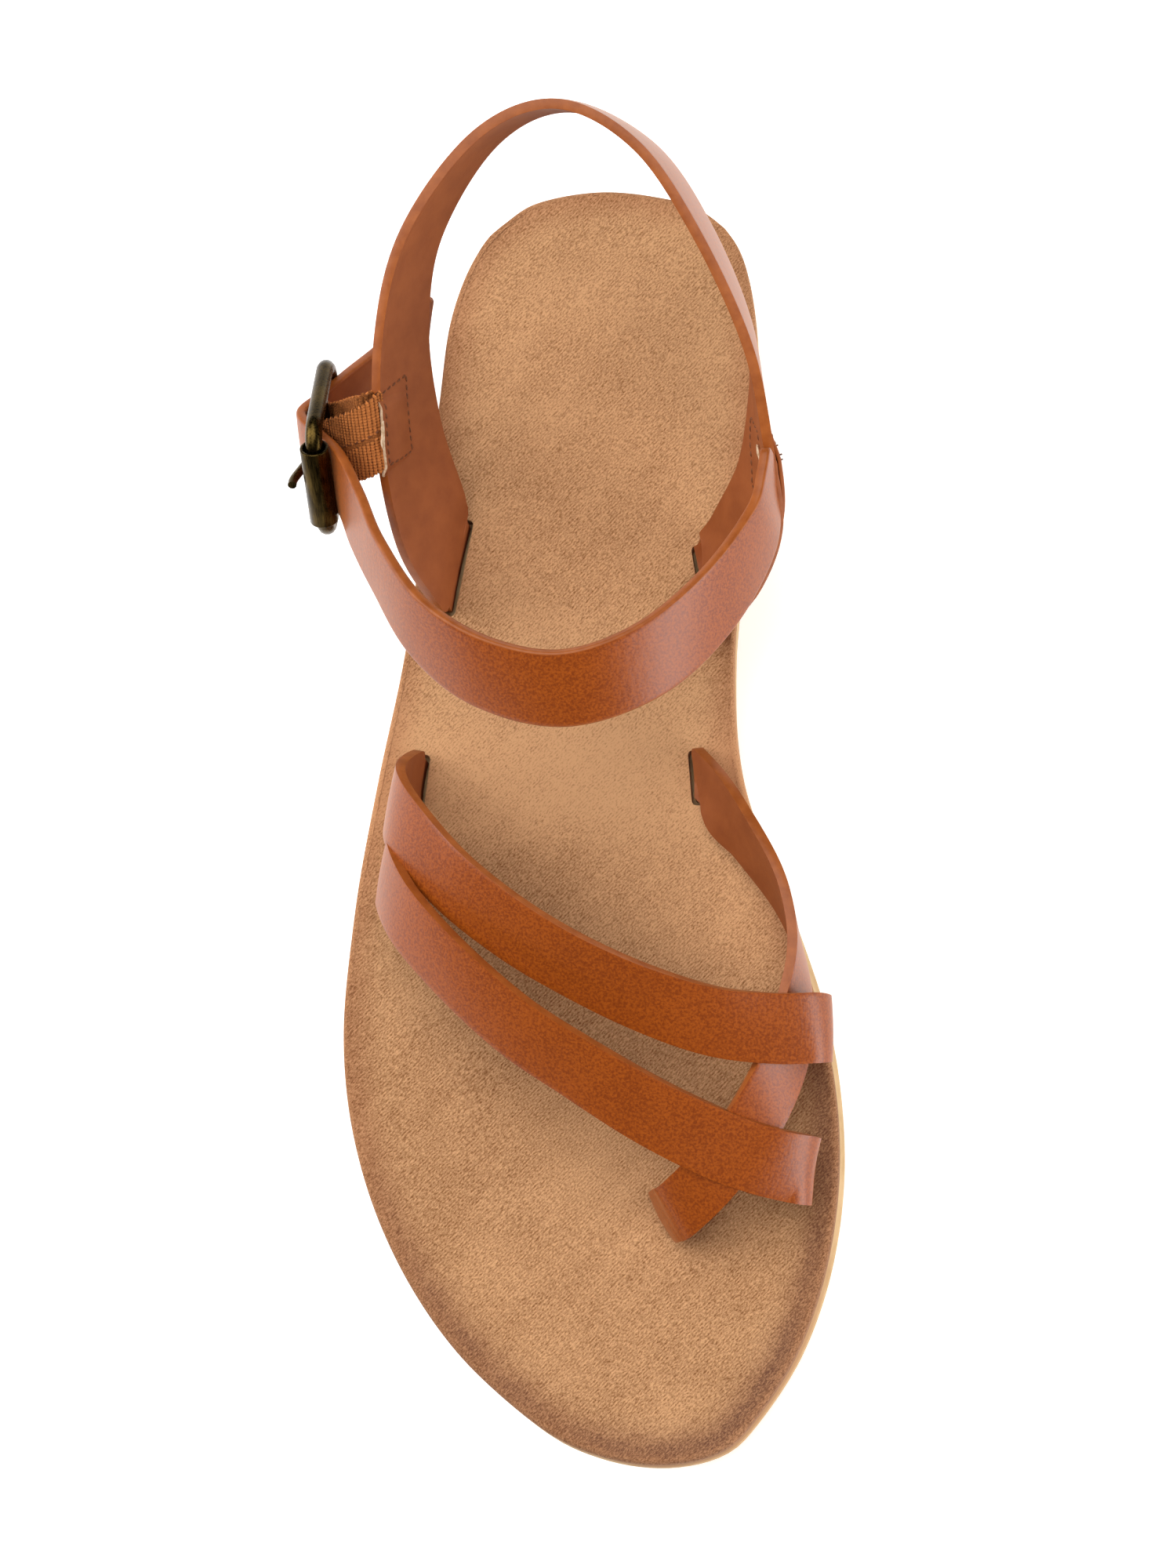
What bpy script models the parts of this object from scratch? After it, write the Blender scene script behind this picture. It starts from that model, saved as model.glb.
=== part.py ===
"""Toe post sandal, right shoe: sole, footbed, two strap uppers and a roller buckle.

Sizes are in millimetres and become metres when a mesh is written. +X is the big toe side, +Y is the
heel and +Z is up. Tables are in the last's own frame, and ORIGIN moves the middle of the shoe's box
on the floor to the world's origin.
"""
import math
from typing import NamedTuple

import bmesh
import bpy
from mathutils import Vector

MM = 0.001
ORIGIN = Vector((-2.7, -5.0, 0.0))
GAP = 0.3
SHARP_ANGLE = math.radians(35)

# Sole and footbed
FOOTBED_THICK = 4.5
FOOTBED_EDGE = 1.1
EDGE_ROUND = 0.3
DISH = 0.7
TREAD_EDGE = 0.9
WALL_BULGE = 0.4
SPAN_STEPS = 3
SOLE_COLUMNS = 6

# Straps
STRAP_THICK = 2.0
STRAP_STEPS = 5
ROOT_DEPTH = 5.0
ROOT_FAN = 9
SLOT_CLEARANCE = 0.4

# Buckle: the frame's plane is upright and its bars lean back by BAR_LEAN
ROLLER_CENTRE = Vector((-49.7, 55.0, 50.0))
BAR_LEAN = math.radians(40)
FRAME_LENGTH = 26.0
FRAME_HALF_WIDTH = 11.6
FRAME_CORNER = 4.5
CENTRE_BAR_AT = 14.0
WIRE_RADIUS = 1.35
ROLLER_RADIUS = 2.85
ROLLER_BORE = 2.25
ROLLER_LENGTH = 17.8
PRONG_RADIUS = 0.7
PRONG_EYE_RADIUS = WIRE_RADIUS + GAP + PRONG_RADIUS
PRONG_HOLE_RADIUS = 1.2
WIRE_SIDES = 10
CORNER_STEPS = 5
NEARLY_SQUARE = 0.05
EYE_HALF_TURN = 130
EYE_STEP = 20
ROLLER_SIDES = 24

# Elastic
ELASTIC_WIDTH = 15.5
ELASTIC_THICK = 1.0
ELASTIC_BEND = WIRE_RADIUS + GAP + ELASTIC_THICK / 2
ELASTIC_PLY_GAP = 0.75
ELASTIC_KNEE = 5.0
ELASTIC_SLOT = 4.2
ELASTIC_SLOT_REACH = 4.5
ELASTIC_STEPS = 4
ELASTIC_TURN_STEPS = 8


class SoleRow(NamedTuple):
    """One cross line of the sole: its place, its two edges, its heights and its wall's flare."""

    y: float
    lateral: float
    medial: float
    top: float
    bottom: float
    flare: float


class StrapRow(NamedTuple):
    """One section of a strap: its middle, where its outer face looks, and its width.

    facing is the face's compass angle from +X towards +Y, lift is its angle above the floor.
    """

    x: float
    y: float
    z: float
    facing: float
    lift: float
    width: float


class Frame(NamedTuple):
    """A strap section worked out: middle, outward normal, direction across, width."""

    centre: Vector
    normal: Vector
    across: Vector
    width: float


SOLE = (
    SoleRow(122.2, 3.5, 3.5, 22.6, 1.4, -0.8),
    SoleRow(120.8, -7.6, 14.6, 22.6, 0.9, -0.8),
    SoleRow(117.6, -14.4, 24.0, 22.5, 0.4, -0.8),
    SoleRow(109.5, -22.2, 31.6, 22.3, 0.0, -0.8),
    SoleRow(96.0, -27.5, 34.8, 22.0, 0.0, -0.8),
    SoleRow(78.0, -30.0, 35.0, 21.4, 0.0, -0.8),
    SoleRow(52.0, -33.4, 32.8, 20.0, 0.0, -0.8),
    SoleRow(26.0, -37.4, 30.0, 17.8, 0.8, -0.6),
    SoleRow(1.0, -43.0, 31.3, 15.0, 2.2, -0.2),
    SoleRow(-25.0, -47.8, 39.6, 13.0, 1.0, 0.8),
    SoleRow(-50.0, -49.7, 46.8, 12.0, 0.0, 1.3),
    SoleRow(-74.0, -46.3, 49.2, 11.9, 0.0, 1.4),
    SoleRow(-95.0, -38.4, 47.0, 12.1, 0.0, 1.4),
    SoleRow(-113.5, -26.0, 41.0, 13.2, 1.6, 1.3),
    SoleRow(-128.0, -9.8, 31.8, 14.8, 3.8, 1.2),
    SoleRow(-133.8, 1.8, 25.0, 15.5, 4.9, 1.2),
    SoleRow(-135.8, 14.0, 14.0, 15.8, 5.4, 1.2),
)

HEEL_SLING = (
    StrapRow(-26.6, 44.5, 21.6, 168, 0, 22.0),
    StrapRow(-27.4, 46.0, 25.2, 167, -13, 21.7),
    StrapRow(-30.0, 52.0, 33.0, 165, -27, 21.4),
    StrapRow(-32.7, 66.0, 44.3, 167, -27, 19.2),
    StrapRow(-32.7, 84.0, 54.8, 160, -20, 16.5),
    StrapRow(-27.6, 101.7, 63.7, 148, -9, 15.2),
    StrapRow(-14.0, 118.7, 70.2, 124, 6, 14.8),
    StrapRow(1.5, 123.8, 72.8, 90, 15, 14.8),
    StrapRow(17.0, 115.5, 71.8, 43, 16, 15.0),
    StrapRow(28.0, 99.3, 67.8, 25, 13, 15.3),
    StrapRow(36.5, 79.0, 60.0, 12, 3, 16.5),
    StrapRow(38.5, 62.5, 51.2, 12, -12, 18.5),
    StrapRow(37.0, 52.3, 40.5, 15, -20, 20.2),
    StrapRow(31.6, 44.2, 28.8, 12, -28, 21.5),
    StrapRow(26.6, 39.6, 23.4, 10, -16, 22.0),
    StrapRow(24.8, 38.0, 21.0, 9, 0, 22.0),
)

INSTEP_STRAP = (
    StrapRow(39.8, 60.5, 54.3, 8, -6, 15.5),
    StrapRow(40.4, 51.5, 55.3, -8, 8, 16.0),
    StrapRow(38.2, 41.3, 57.5, -15, 17, 16.0),
    StrapRow(30.0, 26.3, 64.5, -27, 32, 16.0),
    StrapRow(17.5, 14.0, 69.8, -46, 46, 16.0),
    StrapRow(1.4, 8.5, 71.4, -92, 52, 16.0),
    StrapRow(-15.0, 12.8, 68.4, -130, 43, 16.0),
    StrapRow(-27.4, 23.0, 63.8, -150, 31, 16.0),
    StrapRow(-35.7, 36.5, 59.2, -157, 25, 16.0),
    StrapRow(-41.2, 46.5, 55.0, -160, 21, 16.0),
    StrapRow(-45.2, 55.0, 50.0, -160, 16, 16.0),
    StrapRow(-49.7, 60.4, 45.5, -152, 21, 16.0),
    StrapRow(-54.0, 65.7, 41.0, -180, 0, 16.0),
    StrapRow(-50.2, 70.6, 36.9, -204, -19, 16.0),
    StrapRow(-46.6, 75.3, 33.0, -203, -18, 16.0),
    StrapRow(-40.6, 85.0, 23.4, -207, -10, 16.0),
    StrapRow(-34.1, 97.3, 11.1, -207, -9, 16.0),
)

REAR_DIAGONAL = (
    StrapRow(-33.6, 0.4, 16.2, 172, 0, 13.8),
    StrapRow(-36.2, -1.6, 22.4, 169, -4, 13.8),
    StrapRow(-37.4, -5.2, 28.6, 171, 14, 13.8),
    StrapRow(-33.6, -12.5, 35.2, 187, 41, 13.8),
    StrapRow(-23.6, -23.9, 40.4, 211, 50, 13.8),
    StrapRow(-11.2, -33.9, 42.7, 231, 52, 13.8),
    StrapRow(1.1, -41.3, 42.4, 245, 52, 13.8),
    StrapRow(14.0, -47.3, 40.4, 259, 57, 13.8),
    StrapRow(27.0, -51.5, 37.4, 281, 64, 13.8),
    StrapRow(38.5, -52.6, 33.6, 320, 65, 13.8),
    StrapRow(46.0, -52.2, 30.0, 350, 44, 13.8),
    StrapRow(48.6, -51.9, 25.4, 360, 2, 13.8),
    StrapRow(46.4, -51.8, 21.0, 360, -50, 13.8),
    StrapRow(41.0, -51.6, 19.4, 360, -95, 13.8),
    StrapRow(36.0, -51.4, 21.0, 360, -112, 13.8),
)

FRONT_DIAGONAL = (
    StrapRow(-36.4, -15.4, 15.2, 168, 0, 13.8),
    StrapRow(-38.9, -17.4, 21.2, 163, -4, 13.8),
    StrapRow(-39.2, -20.2, 26.6, 177, 20, 13.8),
    StrapRow(-34.4, -29.2, 33.0, 197, 38, 13.8),
    StrapRow(-24.5, -40.5, 36.6, 216, 46, 13.8),
    StrapRow(-11.9, -51.9, 37.6, 234, 51, 13.8),
    StrapRow(1.0, -60.5, 36.6, 245, 54, 13.8),
    StrapRow(14.5, -68.7, 34.2, 261, 62, 13.8),
    StrapRow(27.5, -75.0, 30.7, 292, 65, 13.8),
    StrapRow(36.5, -78.0, 27.6, 309, 56, 13.8),
    StrapRow(43.4, -79.3, 23.0, 335, 28, 13.8),
    StrapRow(44.0, -79.5, 18.4, 360, -25, 13.8),
    StrapRow(39.5, -78.9, 17.0, 360, -100, 13.8),
    StrapRow(33.5, -77.8, 21.4, 360, -128, 13.8),
)

TOE_POST_STRAP = (
    StrapRow(22.5, 0.9, 16.0, 4, 0, 14.0),
    StrapRow(25.8, -4.2, 19.4, 18, -26, 14.0),
    StrapRow(33.3, -14.3, 22.6, 23, -22, 14.0),
    StrapRow(40.0, -26.1, 24.8, 18, -10, 14.0),
    StrapRow(42.9, -39.5, 25.8, 4, 8, 13.4),
    StrapRow(40.6, -56.0, 27.0, -15, 40, 12.0),
    StrapRow(34.6, -69.8, 29.6, -36, 60, 11.6),
    StrapRow(26.3, -80.2, 27.7, -90, 66, 11.6),
    StrapRow(19.5, -86.4, 22.8, -128, 52, 11.6),
    StrapRow(16.3, -87.7, 18.4, -150, 20, 11.6),
    StrapRow(15.3, -87.4, 13.2, -152, 0, 11.8),
)

# Where each strap end goes down through the footbed: the strap's table and its row
SLOT_ENDS = (
    (HEEL_SLING, 0),
    (HEEL_SLING, -1),
    (REAR_DIAGONAL, 0),
    (FRONT_DIAGONAL, 0),
    (TOE_POST_STRAP, 0),
    (TOE_POST_STRAP, -1),
)
# The smoothed section of the heel sling that the elastic is sewn to
ELASTIC_SECTION = 16

# The prong's side view: how far out from the frame's plane and how far back from the roller
PRONG_PATH = ((2.9, 8.6), (4.0, 5.4), (4.9, 3.0), (5.4, 0.9), (5.3, -0.9))

BAR = Vector((0, math.sin(BAR_LEAN), math.cos(BAR_LEAN)))
BACK = Vector((0, math.cos(BAR_LEAN), -math.sin(BAR_LEAN)))
OUT = Vector((-1, 0, 0))
CENTRE_BAR = ROLLER_CENTRE + BACK * CENTRE_BAR_AT


def clear_scene():
    """Remove every object that the file opened with."""
    for obj in list(bpy.data.objects):
        bpy.data.objects.remove(obj, do_unlink=True)


def make_material(name, colour, roughness, metallic=0.0):
    """Return a Principled material of one colour."""
    material = bpy.data.materials.new(name)
    material.use_nodes = True
    shader = material.node_tree.nodes["Principled BSDF"]
    shader.inputs["Base Color"].default_value = (*colour, 1.0)
    shader.inputs["Roughness"].default_value = roughness
    shader.inputs["Metallic"].default_value = metallic
    return material


def make_object(name, mesh_data, material=None):
    """Write a bmesh in millimetres of the last's frame as an object in metres."""
    bmesh.ops.translate(mesh_data, verts=mesh_data.verts, vec=-ORIGIN)
    bmesh.ops.scale(mesh_data, verts=mesh_data.verts, vec=(MM, MM, MM))
    bmesh.ops.recalc_face_normals(mesh_data, faces=mesh_data.faces)
    mesh = bpy.data.meshes.new(name)
    mesh_data.to_mesh(mesh)
    mesh_data.free()
    obj = bpy.data.objects.new(name, mesh)
    bpy.context.scene.collection.objects.link(obj)
    if material is None:
        obj.hide_render = True
        obj.display_type = "WIRE"
    else:
        mesh.materials.append(material)
        mesh.shade_smooth()
        mesh.set_sharp_from_angle(angle=SHARP_ANGLE)
    return obj


def combine(target, operand, operation):
    """Add or cut a hidden operand with an exact Boolean."""
    modifier = target.modifiers.new(operand.name, "BOOLEAN")
    modifier.operation = operation
    modifier.solver = "EXACT"
    modifier.object = operand


def between(rows, index, t):
    """Catmull-Rom value of a row between rows[index] and rows[index + 1]."""
    last = len(rows) - 1
    p0, p1 = rows[max(index - 1, 0)], rows[index]
    p2, p3 = rows[index + 1], rows[min(index + 2, last)]
    values = []
    for a, b, c, d in zip(p0, p1, p2, p3):
        bend = 2 * a - 5 * b + 4 * c - d
        twist = 3 * (b - c) + d - a
        values.append(b + 0.5 * t * (c - a + t * (bend + t * twist)))
    return values


def smooth_rows(rows, steps):
    """Return rows with steps - 1 smooth ones put between each pair."""
    kind = type(rows[0])
    out = []
    for index in range(len(rows) - 1):
        for step in range(steps):
            out.append(kind(*between(rows, index, step / steps)))
    out.append(rows[-1])
    return out


def direction(facing, lift):
    """Unit vector that looks along a compass angle and an angle above the floor."""
    f, u = math.radians(facing), math.radians(lift)
    return Vector((math.cos(f) * math.cos(u), math.sin(f) * math.cos(u), math.sin(u)))


def frames_along(points, normals, widths):
    """Work out section frames, square to the line through the points."""
    frames = []
    last = len(points) - 1
    for i, point in enumerate(points):
        tangent = (points[min(i + 1, last)] - points[max(i - 1, 0)]).normalized()
        normal = normals[i] - tangent * normals[i].dot(tangent)
        normal.normalize()
        frames.append(Frame(point, normal, normal.cross(tangent), widths[i]))
    return frames


def strap_frames(table):
    """Section frames of a strap from its table."""
    rows = smooth_rows(table, STRAP_STEPS)
    points = [Vector((r.x, r.y, r.z)) for r in rows]
    normals = [direction(r.facing, r.lift) for r in rows]
    return frames_along(points, normals, [r.width for r in rows])


def rooted_start(frames, row):
    """Stand a strap's first sections up in its slot, fanning out from there to the free strap."""
    outward = direction(row.facing, 0)
    level = outward.cross(Vector((0, 0, 1)))
    level *= math.copysign(1, level.dot(frames[0].across))
    fan = []
    for i, frame in enumerate(frames[:ROOT_FAN]):
        f = i / ROOT_FAN
        normal = outward.lerp(frame.normal, f).normalized()
        across = level.lerp(frame.across, f).normalized()
        fan.append(frame._replace(normal=normal, across=across))
    root = fan[0]._replace(centre=fan[0].centre - Vector((0, 0, ROOT_DEPTH)))
    return [root, *fan, *frames[ROOT_FAN:]]


def loft(loops, closed=False):
    """Skin a row of point loops into a solid, with end caps unless it closes on itself."""
    mesh_data = bmesh.new()
    rings = [[mesh_data.verts.new(p) for p in loop] for loop in loops]
    pairs = list(zip(rings, rings[1:]))
    if closed:
        pairs.append((rings[-1], rings[0]))
    else:
        mesh_data.faces.new(rings[0])
        mesh_data.faces.new(list(reversed(rings[-1])))
    for ring, following in pairs:
        count = len(ring)
        for i in range(count):
            j = (i + 1) % count
            mesh_data.faces.new((ring[i], ring[j], following[j], following[i]))
    return mesh_data


def ribbon(frames, thickness, extra_width=0.0):
    """A flat strap of one thickness along its frames."""
    loops = []
    for frame in frames:
        side = frame.across * (frame.width + extra_width) / 2
        face = frame.normal * thickness / 2
        c = frame.centre
        loops.append((c + side + face, c - side + face, c - side - face, c + side - face))
    return loft(loops)


def strap(name, table, rooted, material=None):
    """A strap solid; rooted names the ends, first and last, that go down through the footbed."""
    frames = strap_frames(table)
    if rooted[0]:
        frames = rooted_start(frames, table[0])
    if rooted[1]:
        frames = rooted_start(frames[::-1], table[-1])
    return make_object(name, ribbon(frames, STRAP_THICK), material)


def tube(name, points, radius, sides, closed=False, material=None):
    """A round wire through points that all lie in the buckle's side or face plane."""
    loops = []
    count = len(points)
    for i, point in enumerate(points):
        before = points[i - 1] if closed or i else point
        after = points[(i + 1) % count] if closed or i < count - 1 else point
        tangent = (after - before).normalized()
        reference = OUT if abs(tangent.dot(OUT)) < NEARLY_SQUARE else BAR
        first = (reference - tangent * reference.dot(tangent)).normalized()
        second = tangent.cross(first)
        turn = [2 * math.pi * k / sides for k in range(sides)]
        loops.append([point + (first * math.cos(a) + second * math.sin(a)) * radius for a in turn])
    return make_object(name, loft(loops, closed), material)


def outline_sides(rows):
    """Smooth the sole's rows, rounding the heel and toe ends through the opposite side."""
    lateral = [(r.lateral, r.y) for r in rows]
    medial = [(r.medial, r.y) for r in rows]
    sides = []
    for side, other in ((lateral, medial), (medial, lateral)):
        padded = [other[1], *side, other[-2]]
        points = []
        for index in range(1, len(rows)):
            for step in range(SPAN_STEPS):
                points.append(Vector(between(padded, index, step / SPAN_STEPS)))
        points.append(Vector(side[-1]))
        sides.append(points)
    heights = [row._replace(bottom=max(row.bottom, 0.0)) for row in smooth_rows(rows, SPAN_STEPS)]
    return sides[0], sides[1], heights


def inset_ring(ring, distances):
    """Move each point of a closed flat ring inwards by its own distance."""
    moved = []
    count = len(ring)
    for i, point in enumerate(ring):
        along = (ring[(i + 1) % count] - ring[i - 1]).normalized()
        moved.append(point + Vector((-along.y, along.x)) * distances[i])
    return moved


def plate(levels, dish=0.0):
    """A sole layer: levels are (inset, height) functions of a row, from its top to its bottom."""
    lateral, medial, rows = outline_sides(SOLE)
    last = len(rows) - 1
    order = [("l", i) for i in range(last + 1)] + [("m", i) for i in range(last - 1, 0, -1)]
    outline = [(lateral if side == "l" else medial)[i] for side, i in order]
    mesh_data = bmesh.new()
    rings = []
    for inset, height in levels:
        flat = inset_ring(outline, [inset(rows[i]) for _, i in order])
        ring = {}
        for key, point in zip(order, flat):
            ring[key] = mesh_data.verts.new((point.x, point.y, height(rows[key[1]])))
        rings.append(ring)
    for ring, following in zip(rings, rings[1:]):
        for k, key in enumerate(order):
            after = order[(k + 1) % len(order)]
            mesh_data.faces.new((ring[key], ring[after], following[after], following[key]))
    for ring, hollow in ((rings[0], dish), (rings[-1], 0.0)):
        close_with_grid(mesh_data, ring, last, hollow)
    return mesh_data


def close_with_grid(mesh_data, ring, last, hollow):
    """Fill a ring with cross rows of points, sunk by hollow along the middle."""
    grid = [[ring["l", 0]]]
    for i in range(1, last):
        start, end = ring["l", i], ring["m", i]
        row = [start]
        for column in range(1, SOLE_COLUMNS):
            f = column / SOLE_COLUMNS
            point = start.co.lerp(end.co, f)
            point.z -= hollow * 4 * f * (1 - f)
            row.append(mesh_data.verts.new(point))
        row.append(end)
        grid.append(row)
    grid.append([ring["l", last]])
    for row, following in zip(grid, grid[1:]):
        for k in range(max(len(row), len(following)) - 1):
            corners = [*row[k:k + 2], *reversed(following[k:k + 2])]
            if len(row) == 1:
                corners = [row[0], following[k + 1], following[k]]
            if len(following) == 1:
                corners = [row[k], row[k + 1], following[0]]
            mesh_data.faces.new(corners)


def make_outsole(material):
    """Moulded rubber unit: heel, raised waist, flat forefoot, toe spring and flared wall."""
    def top(row):
        return row.top - FOOTBED_THICK - GAP

    def wall_foot(row):
        return row.bottom + TREAD_EDGE

    levels = (
        (lambda row: 0.0, top),
        (lambda row: -row.flare * WALL_BULGE, lambda row: (top(row) + wall_foot(row)) / 2),
        (lambda row: -row.flare, wall_foot),
        (lambda row: TREAD_EDGE - row.flare, lambda row: row.bottom),
    )
    return make_object("outsole", plate(levels), material)


def make_footbed(material):
    """Suede-covered insole with a rounded edge, a shallow dish and a slot for each strap end."""
    levels = (
        (lambda row: FOOTBED_EDGE, lambda row: row.top),
        (lambda row: FOOTBED_EDGE * EDGE_ROUND, lambda row: row.top - FOOTBED_EDGE * EDGE_ROUND),
        (lambda row: 0.0, lambda row: row.top - FOOTBED_EDGE),
        (lambda row: 0.0, lambda row: row.top - FOOTBED_THICK),
    )
    footbed = make_object("footbed", plate(levels, DISH), material)
    for number, (table, end) in enumerate(SLOT_ENDS):
        row = table[end]
        outward = direction(row.facing, 0)
        across = outward.cross(Vector((0, 0, 1)))
        middle = Vector((row.x, row.y, row.z))
        reach = Vector((0, 0, 2 * FOOTBED_THICK))
        frames = [Frame(middle + reach * side, outward, across, row.width) for side in (-1, 1)]
        cutter = ribbon(frames, STRAP_THICK + 2 * SLOT_CLEARANCE, 2 * SLOT_CLEARANCE)
        combine(footbed, make_object(f"slot_cutter_{number}", cutter), "DIFFERENCE")
    return footbed


def make_forefoot_upper(material):
    """Two diagonal straps folded round the toe post strap and joined to it where they cross."""
    upper = strap("forefoot_upper", REAR_DIAGONAL, (True, False), material)
    combine(upper, strap("front_diagonal", FRONT_DIAGONAL, (True, False)), "UNION")
    combine(upper, strap("toe_post_strap", TOE_POST_STRAP, (True, True)), "UNION")
    return upper


def bar_ring(centre, radius, angle):
    """A point round a line along BAR, turned from BACK towards OUT."""
    return centre + (OUT * math.sin(angle) + BACK * math.cos(angle)) * radius


def prong_points():
    """The prong from its open eye round the centre bar to its tip past the roller."""
    turns = range(-EYE_HALF_TURN, EYE_HALF_TURN + 1, EYE_STEP)
    points = [bar_ring(CENTRE_BAR, PRONG_EYE_RADIUS, math.radians(turn)) for turn in turns]
    points += [ROLLER_CENTRE + OUT * out + BACK * back for out, back in PRONG_PATH]
    return points


def make_ankle_upper(material):
    """Heel sling and instep strap, sewn together at the inner side, with the prong's hole."""
    upper = strap("ankle_upper", HEEL_SLING, (True, True), material)
    instep = strap("instep_strap", INSTEP_STRAP, (False, False))
    combine(upper, instep, "UNION")
    shank = prong_points()[-len(PRONG_PATH) - 1:]
    hole = tube("prong_hole_cutter", shank, PRONG_HOLE_RADIUS, WIRE_SIDES)
    combine(upper, hole, "DIFFERENCE")
    return upper


def make_elastic_loop(material):
    """Elastic folded round the centre bar, its two ends met at the heel sling's front edge."""
    sling = strap_frames(HEEL_SLING)[ELASTIC_SECTION]
    forward = sling.across * math.copysign(1, -sling.across.dot(BACK))
    edge = forward.cross(sling.normal)
    edge *= math.copysign(1, edge.dot(BAR))
    hand = math.copysign(1, edge.cross(forward).dot(sling.normal))
    seam = sling.centre + forward * (sling.width / 2 + GAP)
    knee = seam + forward * ELASTIC_KNEE
    to_bar = (CENTRE_BAR - knee).normalized()
    seam_spread = (ELASTIC_THICK + ELASTIC_PLY_GAP) / 2
    outer, inner = [], []
    for step in range(ELASTIC_STEPS + 1):
        f = step / ELASTIC_STEPS
        centre = seam.lerp(knee, f).lerp(knee.lerp(CENTRE_BAR, f), f)
        across = edge.lerp(BAR, f)
        normal = across.cross(forward.lerp(to_bar, f)).normalized() * hand
        offset = normal * (seam_spread + (ELASTIC_BEND - seam_spread) * f)
        outer.append(Frame(centre + offset, normal, across, ELASTIC_WIDTH))
        inner.append(Frame(centre - offset, -normal, across, ELASTIC_WIDTH))
    around = normal.cross(BAR)
    around *= math.copysign(1, around.dot(to_bar))
    turn = []
    for step in range(1, ELASTIC_TURN_STEPS):
        angle = math.pi * step / ELASTIC_TURN_STEPS
        swing = normal * math.cos(angle) + around * math.sin(angle)
        turn.append(Frame(CENTRE_BAR + swing * ELASTIC_BEND, swing, BAR, ELASTIC_WIDTH))
    frames = [*outer, *turn, *reversed(inner)]
    loop = make_object("elastic_loop", ribbon(frames, ELASTIC_THICK), material)
    reach = around * ELASTIC_SLOT_REACH
    window = [Frame(CENTRE_BAR + reach * side, BAR, normal, 2 * ELASTIC_SLOT_REACH) for side in (-1, 1)]
    cutter = make_object("elastic_slot_cutter", ribbon(window, ELASTIC_SLOT))
    combine(loop, cutter, "DIFFERENCE")
    return loop


def make_buckle_frame(material):
    """A wire bent into a rounded oblong, with a straight centre bar joined to its two arms."""
    middle = ROLLER_CENTRE + BACK * FRAME_LENGTH / 2
    half_back = FRAME_LENGTH / 2 - FRAME_CORNER
    half_bar = FRAME_HALF_WIDTH - FRAME_CORNER
    points = []
    for quarter, (back, bar) in enumerate(((1, 1), (-1, 1), (-1, -1), (1, -1))):
        corner = middle + BACK * half_back * back + BAR * half_bar * bar
        for step in range(CORNER_STEPS + 1):
            angle = math.pi / 2 * (quarter + step / CORNER_STEPS)
            points.append(corner + (BACK * math.cos(angle) + BAR * math.sin(angle)) * FRAME_CORNER)
    wire = tube("buckle_frame", points, WIRE_RADIUS, WIRE_SIDES, closed=True, material=material)
    ends = [CENTRE_BAR - BAR * FRAME_HALF_WIDTH, CENTRE_BAR + BAR * FRAME_HALF_WIDTH]
    combine(wire, tube("centre_bar", ends, WIRE_RADIUS, WIRE_SIDES), "UNION")
    return wire


def make_buckle_roller(material):
    """A thin tube that turns on the frame's front bar."""
    half = BAR * ROLLER_LENGTH / 2
    sections = []
    for k in range(ROLLER_SIDES):
        angle = 2 * math.pi * k / ROLLER_SIDES
        inner = bar_ring(ROLLER_CENTRE, ROLLER_BORE, angle)
        outer = bar_ring(ROLLER_CENTRE, ROLLER_RADIUS, angle)
        sections.append((inner - half, outer - half, outer + half, inner + half))
    return make_object("buckle_roller", loft(sections, closed=True), material)


def make_buckle_prong(material):
    """A round prong with an open eye, through the strap's hole and over the roller."""
    return tube("buckle_prong", prong_points(), PRONG_RADIUS, WIRE_SIDES, material=material)


def main():
    """Build every piece of the sandal."""
    clear_scene()
    rubber = make_material("cream_rubber", (0.66, 0.50, 0.27), 0.6)
    suede = make_material("tan_suede", (0.50, 0.30, 0.15), 0.95)
    leather = make_material("cognac_leather", (0.40, 0.115, 0.03), 0.4)
    webbing = make_material("tan_elastic", (0.50, 0.22, 0.09), 0.9)
    brass = make_material("antique_brass", (0.20, 0.15, 0.055), 0.35, 1.0)
    make_outsole(rubber)
    make_footbed(suede)
    make_forefoot_upper(leather)
    make_ankle_upper(leather)
    make_elastic_loop(webbing)
    make_buckle_frame(brass)
    make_buckle_roller(brass)
    make_buckle_prong(brass)


main()
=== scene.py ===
"""Looks of the toe post sandal, a right shoe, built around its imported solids.

Tables are in millimetres in the frame of the last that the shoe was made on. LAST_SHIFT moves them to
the world's frame, and meshes are written in metres. +X is the big toe side, +Y the heel and +Z is up.
"""
import logging
import math
from dataclasses import dataclass, field
from enum import Enum
from functools import partial
from typing import Any, Callable, NamedTuple, Sequence

import bpy
import numpy as np
from mathutils import Matrix, Vector

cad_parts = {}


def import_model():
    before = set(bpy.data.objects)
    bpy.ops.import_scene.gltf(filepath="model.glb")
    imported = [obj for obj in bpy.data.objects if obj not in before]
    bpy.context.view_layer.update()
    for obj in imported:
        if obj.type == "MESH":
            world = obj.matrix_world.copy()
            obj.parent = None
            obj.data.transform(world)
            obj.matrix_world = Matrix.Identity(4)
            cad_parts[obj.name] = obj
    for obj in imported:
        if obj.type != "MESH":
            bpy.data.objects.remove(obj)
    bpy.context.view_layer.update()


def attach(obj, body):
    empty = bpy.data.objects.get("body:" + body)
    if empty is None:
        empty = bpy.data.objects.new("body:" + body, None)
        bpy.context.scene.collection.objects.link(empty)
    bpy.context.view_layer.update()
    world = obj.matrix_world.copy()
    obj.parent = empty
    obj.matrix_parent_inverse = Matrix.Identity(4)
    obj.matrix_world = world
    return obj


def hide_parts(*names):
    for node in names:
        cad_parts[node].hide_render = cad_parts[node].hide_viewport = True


LOG = logging.getLogger("toe_post_sandal")
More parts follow.
